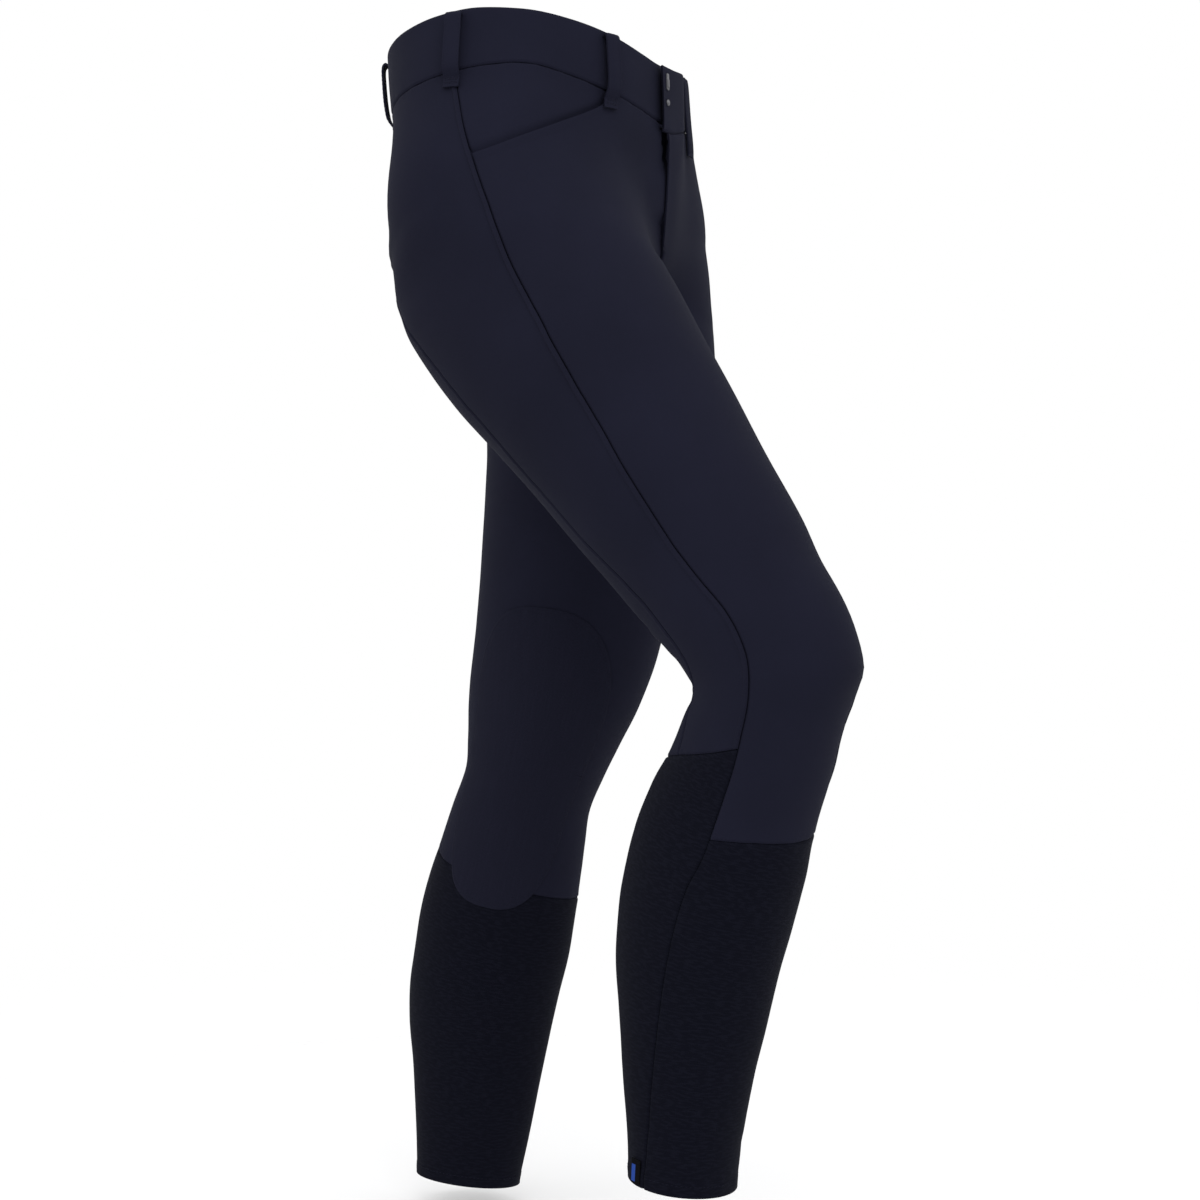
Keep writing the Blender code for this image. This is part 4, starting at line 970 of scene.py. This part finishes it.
# ---- Belt loops ------------------------------------------------------------------------------------------------
# Six narrow straps of folded twill, two in front, one at each side and two behind. All but the left front one
# stand off the waistband, and each is bar-tacked just below the waistband's seam.
LOOP_WIDTH, LOOP_WALL = 0.012, 0.0015
LOOP_TACK = (0.0026, 0.0025, 0.0006)  # pitch, stitch length, thread width
LOOP_ANGLES = {"front": 40, "side": 88.8, "back": 141}
LOOP_PATH = (
    # share of the way along, down from the band's top edge, out from the form
    (0, 0.0040, 0.0016), (1, 0.0024, 0.0034), (2, 0.0040, 0.0055), (3, 0.0090, 0.0064), (4, 0.0300, 0.0068),
    (5, 0.0430, 0.0062), (6, 0.0485, 0.0040), (7, 0.0520, 0.0022), (8, 0.0590, 0.0021),
)
# The left front strap is pressed nearly flat, nearer the closure and tipped a little.
PRESSED_ANGLE, PRESSED_TILT, PRESSED_LEAN = 24, 0.0007, 3.0
PRESSED_PATH = (
    (0, 0.0030, 0.0019), (1, 0.0050, 0.0022), (2, 0.0090, 0.0025), (3, 0.0200, 0.0027), (4, 0.0340, 0.0028),
    (5, 0.0430, 0.0027), (6, 0.0490, 0.0026), (7, 0.0550, 0.0024), (8, 0.0630, 0.0022),
)
for side in SIGN:
    for place, middle in LOOP_ANGLES.items():
        share = np.linspace(0, 8, 65)
        pressed = (side, place) == ("left", "front")
        rows, middle = (PRESSED_PATH, PRESSED_ANGLE) if pressed else (LOOP_PATH, middle)
        path = np.stack([smooth_line(rows, k)(share) for k in (1, 2)], -1)
        along = np.gradient(path, axis=0)
        normal = np.stack([-along[:, 1], along[:, 0]], -1) / np.linalg.norm(along, axis=1)[:, None]
        top = float(band_edge(side, "top")(middle))
        radius = np.linalg.norm(form_point(side, [top], [middle])[0, :2])
        across = np.array([-1, -0.93, -0.82, -0.68, -0.4, 0, 0.4, 0.68, 0.82, 0.93, 1])[None, :]
        lean = pressed * PRESSED_LEAN * (1 - share[:, None] / 8)
        angle = middle - across * math.degrees(LOOP_WIDTH / 2 / radius) - lean
        soft = 0.00022 * (1 - across**6) - 0.00018 * np.exp(-(((np.abs(across) - 0.72) / 0.10) ** 2))
        layers = []
        for lay, swell in ((-LOOP_WALL / 2, -soft * 0.5), (LOOP_WALL / 2, soft)):
            moved = path[:, None, :] + normal[:, None, :] * (lay + swell)[..., None]
            moved[..., 1] -= across * PRESSED_TILT * pressed
            strap = Net(side, top + moved[..., 0], angle)
            layers.append((strap.form + strap.out * moved[..., 1:]) * (1, -1, 1))
        strap.inner, strap.outer = layers
        strap.from_left = (across + 1) * LOOP_WIDTH / 2 + 0 * share[:, None]
        loop = cloth_wall(f"loop_{place}_{side}", [strap], 0.00025)
        loop.data.materials.append(twill_cloth)
        facing = strap.out[:, 5] * (1, -1, 1)
        sewing = [
            (strap.outer[10:-2, 2], facing[10:-2], *SEWN), (strap.outer[10:-2, -3], facing[10:-2], *SEWN),
        ]
        for row in (-10, -8, -7, -5, -4):
            line = strap.outer[row, 1:-1]
            line = np.concatenate([line[:1], line, line[-1:]])
            sewing.append((line, np.tile(facing[row], (len(line), 1)), *LOOP_TACK))
        threads = stitches(f"loop_stitches_{place}_{side}", sewing, navy_thread)
        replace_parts(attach(loop, "root"), f"belt_loop_{place}_{side}")

# ---- Hook and stud ---------------------------------------------------------------------------------------------
# The flat closure on the waistband's left end, in satin steel: a slim hook plate with its folded tongue and two
# clenched ends and, below it, the stepped cap of a stud. Both lie flat on the lapped cloth.
metal = Finish("satin steel", Metallic=1.0, Base_Color=(0.13, 0.13, 0.14, 1))
brushing = metal.noise(metal.node("ShaderNodeTexCoord", {}, {}, out=3), 1, 2, stretch=(3000, 3000, 300))
satin_steel = metal.surface(roughness=0.38 + 0.16 * brushing, height=brushing, depth=0.00003, strength=0.4)


def add_slab(bm, size, centre, corner):
    """A flat plate with round corners and an eased rim."""
    place = Matrix.Translation(centre) @ Matrix.Diagonal((*size, 1))
    slab = bmesh.ops.create_cube(bm, size=1, matrix=place)["verts"]
    edges = {e for v in slab for e in v.link_edges}
    upright = [e for e in edges if abs(e.verts[0].co.z - e.verts[1].co.z) > size[2] / 2]
    made = bmesh.ops.bevel(bm, geom=upright, offset=corner, segments=5, affect="EDGES", profile=0.5, material=-1)
    top = max(v.co.z for v in made["verts"])
    rim = {e for v in made["verts"] for e in v.link_edges if all(abs(w.co.z - top) < 1e-7 for w in e.verts)}
    rim = [e for e in rim if e.calc_face_angle(0) > 1]
    bmesh.ops.bevel(bm, geom=rim, offset=min(size) / 4, segments=2, affect="EDGES", profile=0.5, material=-1)


def lay_on_band(name, bm, node):
    """Lays a piece, made flat about its own origin, on the band where the frame's own piece is."""
    low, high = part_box(node)
    centre = (Vector(low) + Vector(high)) / 2
    band = band_net["left"]
    i = np.unravel_index(np.linalg.norm(band.outer - np.array(centre), axis=-1).argmin(), band.down.shape)
    face = Vector(band.out[i] * (1, -1, 1))
    centre -= face * (centre - Vector(band.outer[i])).dot(face)
    upright = (Vector((0, 0, 1)) - face * face.z).normalized()
    bmesh.ops.transform(bm, matrix=Matrix((upright.cross(face), upright, face)).transposed().to_4x4(), verts=bm.verts)
    bmesh.ops.translate(bm, vec=centre + face * 0.0001, verts=bm.verts)
    piece = finished(name, bm, sharp=50)
    piece.data.materials.append(satin_steel)
    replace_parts(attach(piece, "root"), node)


bm = bmesh.new()
add_slab(bm, (0.0036, 0.0128, 0.0008), (0, 0, 0.0004), 0.0010)
add_slab(bm, (0.0022, 0.0064, 0.0006), (0, -0.0014, 0.0011), 0.0007)
for end in (0.0047, -0.0053):
    dimple = Matrix.Translation((0, end, 0.0008)) @ Matrix.Diagonal((0.0008, 0.0006, 0.0003, 1))
    bmesh.ops.create_uvsphere(bm, u_segments=16, v_segments=10, radius=1, matrix=dimple)
lay_on_band("hook", bm, "hook_plate")

STUD_PROFILE = (
    # out from the stud's middle, height
    (0, 0), (0.00235, 0), (0.00240, 0.0002), (0.00235, 0.0006), (0.00215, 0.0008), (0.00155, 0.0008),
    (0.00140, 0.0010), (0.00135, 0.0012), (0.00115, 0.0014), (0, 0.00145),
)
bm = bmesh.new()
points = [bm.verts.new((out, 0, up)) for out, up in STUD_PROFILE]
line = [bm.edges.new(pair) for pair in zip(points, points[1:])]
bmesh.ops.spin(
    bm, geom=points + line, cent=(0, 0, 0), axis=(0, 0, 1), dvec=(0, 0, 0), angle=2 * math.pi, steps=40,
    use_merge=True,
)
bmesh.ops.remove_doubles(bm, verts=bm.verts, dist=0.000001)
lay_on_band("stud", bm, "stud_plate")

# ---- Hem label -------------------------------------------------------------------------------------------------
# A small folded tape caught in the right hem just behind the side seam. It is plain black with a blue bar.
tape = Finish("black label tape", Specular_IOR_Level=0.05, Roughness=0.9)
cut = tape.node("ShaderNodeUVMap", {"uv_map": "cut"}, {})
split = tape.node("ShaderNodeSeparateXYZ", {}, {0: cut})
across, up = split, Shade(tape, split.socket.node.outputs[1])
bar = tape.step(across, 0.0050, 0.0054) * (1 - tape.step(across, 0.0096, 0.0100))
bar = bar * tape.step(up, -0.9272, -0.9267) * (1 - tape.step(up, -0.9152, -0.9147))
ribs = tape.wave(up * (2 * math.pi / 0.0006))
label_tape = tape.surface(
    colour=tape.colour(bar, (0.0020, 0.0020, 0.0030), (0.020, 0.055, 0.260)), height=ribs, depth=0.0001, strength=0.5
)
LABEL_DOWN, LABEL_ANGLES = (0.9110, 0.9283), (114, 128)
label = Net.between(
    "right", [(0, d, 0) for d in np.linspace(*LABEL_DOWN, 12)], 10,
    left=lambda down: LABEL_ANGLES[0] + 0 * down, right=lambda down: LABEL_ANGLES[1] + 0 * down,
    top=lambda a: 0 * a, bottom=lambda a: 0 * a, near_left=(0, 0.0006), near_right=(0, 0.0006),
)
label.raise_wall(0.0014 + 0.0004 * ease(label.from_left, 0.004, 0.012), 0.0008)
tag = cloth_wall("label_tag", [label], 0.0002)
tag.data.materials.append(label_tape)
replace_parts(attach(tag, "root"), "hem_label")

# ---- Floor, light and camera -----------------------------------------------------------------------------------
# A plain pale floor under the hems that fades into a white surround, large soft lights, and the camera level with
# the knees on the wearer's right front.
bm = bmesh.new()
bmesh.ops.create_circle(bm, cap_ends=True, segments=96, radius=4.0, matrix=Matrix.Translation((0, 0, -0.950)))
floor = finished("floor", bm)
pale = Finish("pale floor", Base_Color=(0.94, 0.94, 0.95, 1), Roughness=0.8, Specular_IOR_Level=0.2)
place = pale.node("ShaderNodeTexCoord", {}, {}, out=3)
away = pale.node("ShaderNodeVectorMath", {"operation": "LENGTH"}, {0: place}, out=1)
pale.put(pale.shader.inputs["Alpha"], 1 - pale.step(away, 0.25, 1.8))
floor.data.materials.append(pale.material)

world = bpy.data.worlds.new("white surround")
world.use_nodes = True
world.node_tree.nodes["Background"].inputs["Color"].default_value = (1, 1, 1, 1)
world.node_tree.nodes["Background"].inputs["Strength"].default_value = 1.0
bpy.context.scene.world = world
bpy.context.scene.view_settings.view_transform = "Standard"

TARGET = Vector((0, -0.06, -0.45))
for name, away, size, power in (
    ("key light", (-1.1, -0.9, 1.5), 1.8, 18),
    ("rear light", (-1.1, 1.2, 1.2), 1.6, 6),
    ("far light", (1.3, -0.8, 1.2), 1.6, 1.5),
):
    lamp = bpy.data.lights.new(name, "AREA")
    lamp.shape, lamp.size, lamp.energy = "DISK", size, power
    light = bpy.data.objects.new(name, lamp)
    light.location = TARGET + Vector(away)
    light.rotation_euler = Vector(away).to_track_quat("Z", "Y").to_euler()
    bpy.context.scene.collection.objects.link(light)

camera = bpy.data.objects.new("camera", bpy.data.cameras.new("camera"))
camera.data.lens, camera.data.sensor_width = 66, 36
camera.location = (-1.589, -0.760, -0.432)
camera.rotation_euler = Vector((-0.914, -0.407, 0)).to_track_quat("Z", "Y").to_euler()
bpy.context.scene.collection.objects.link(camera)
bpy.context.scene.camera = camera
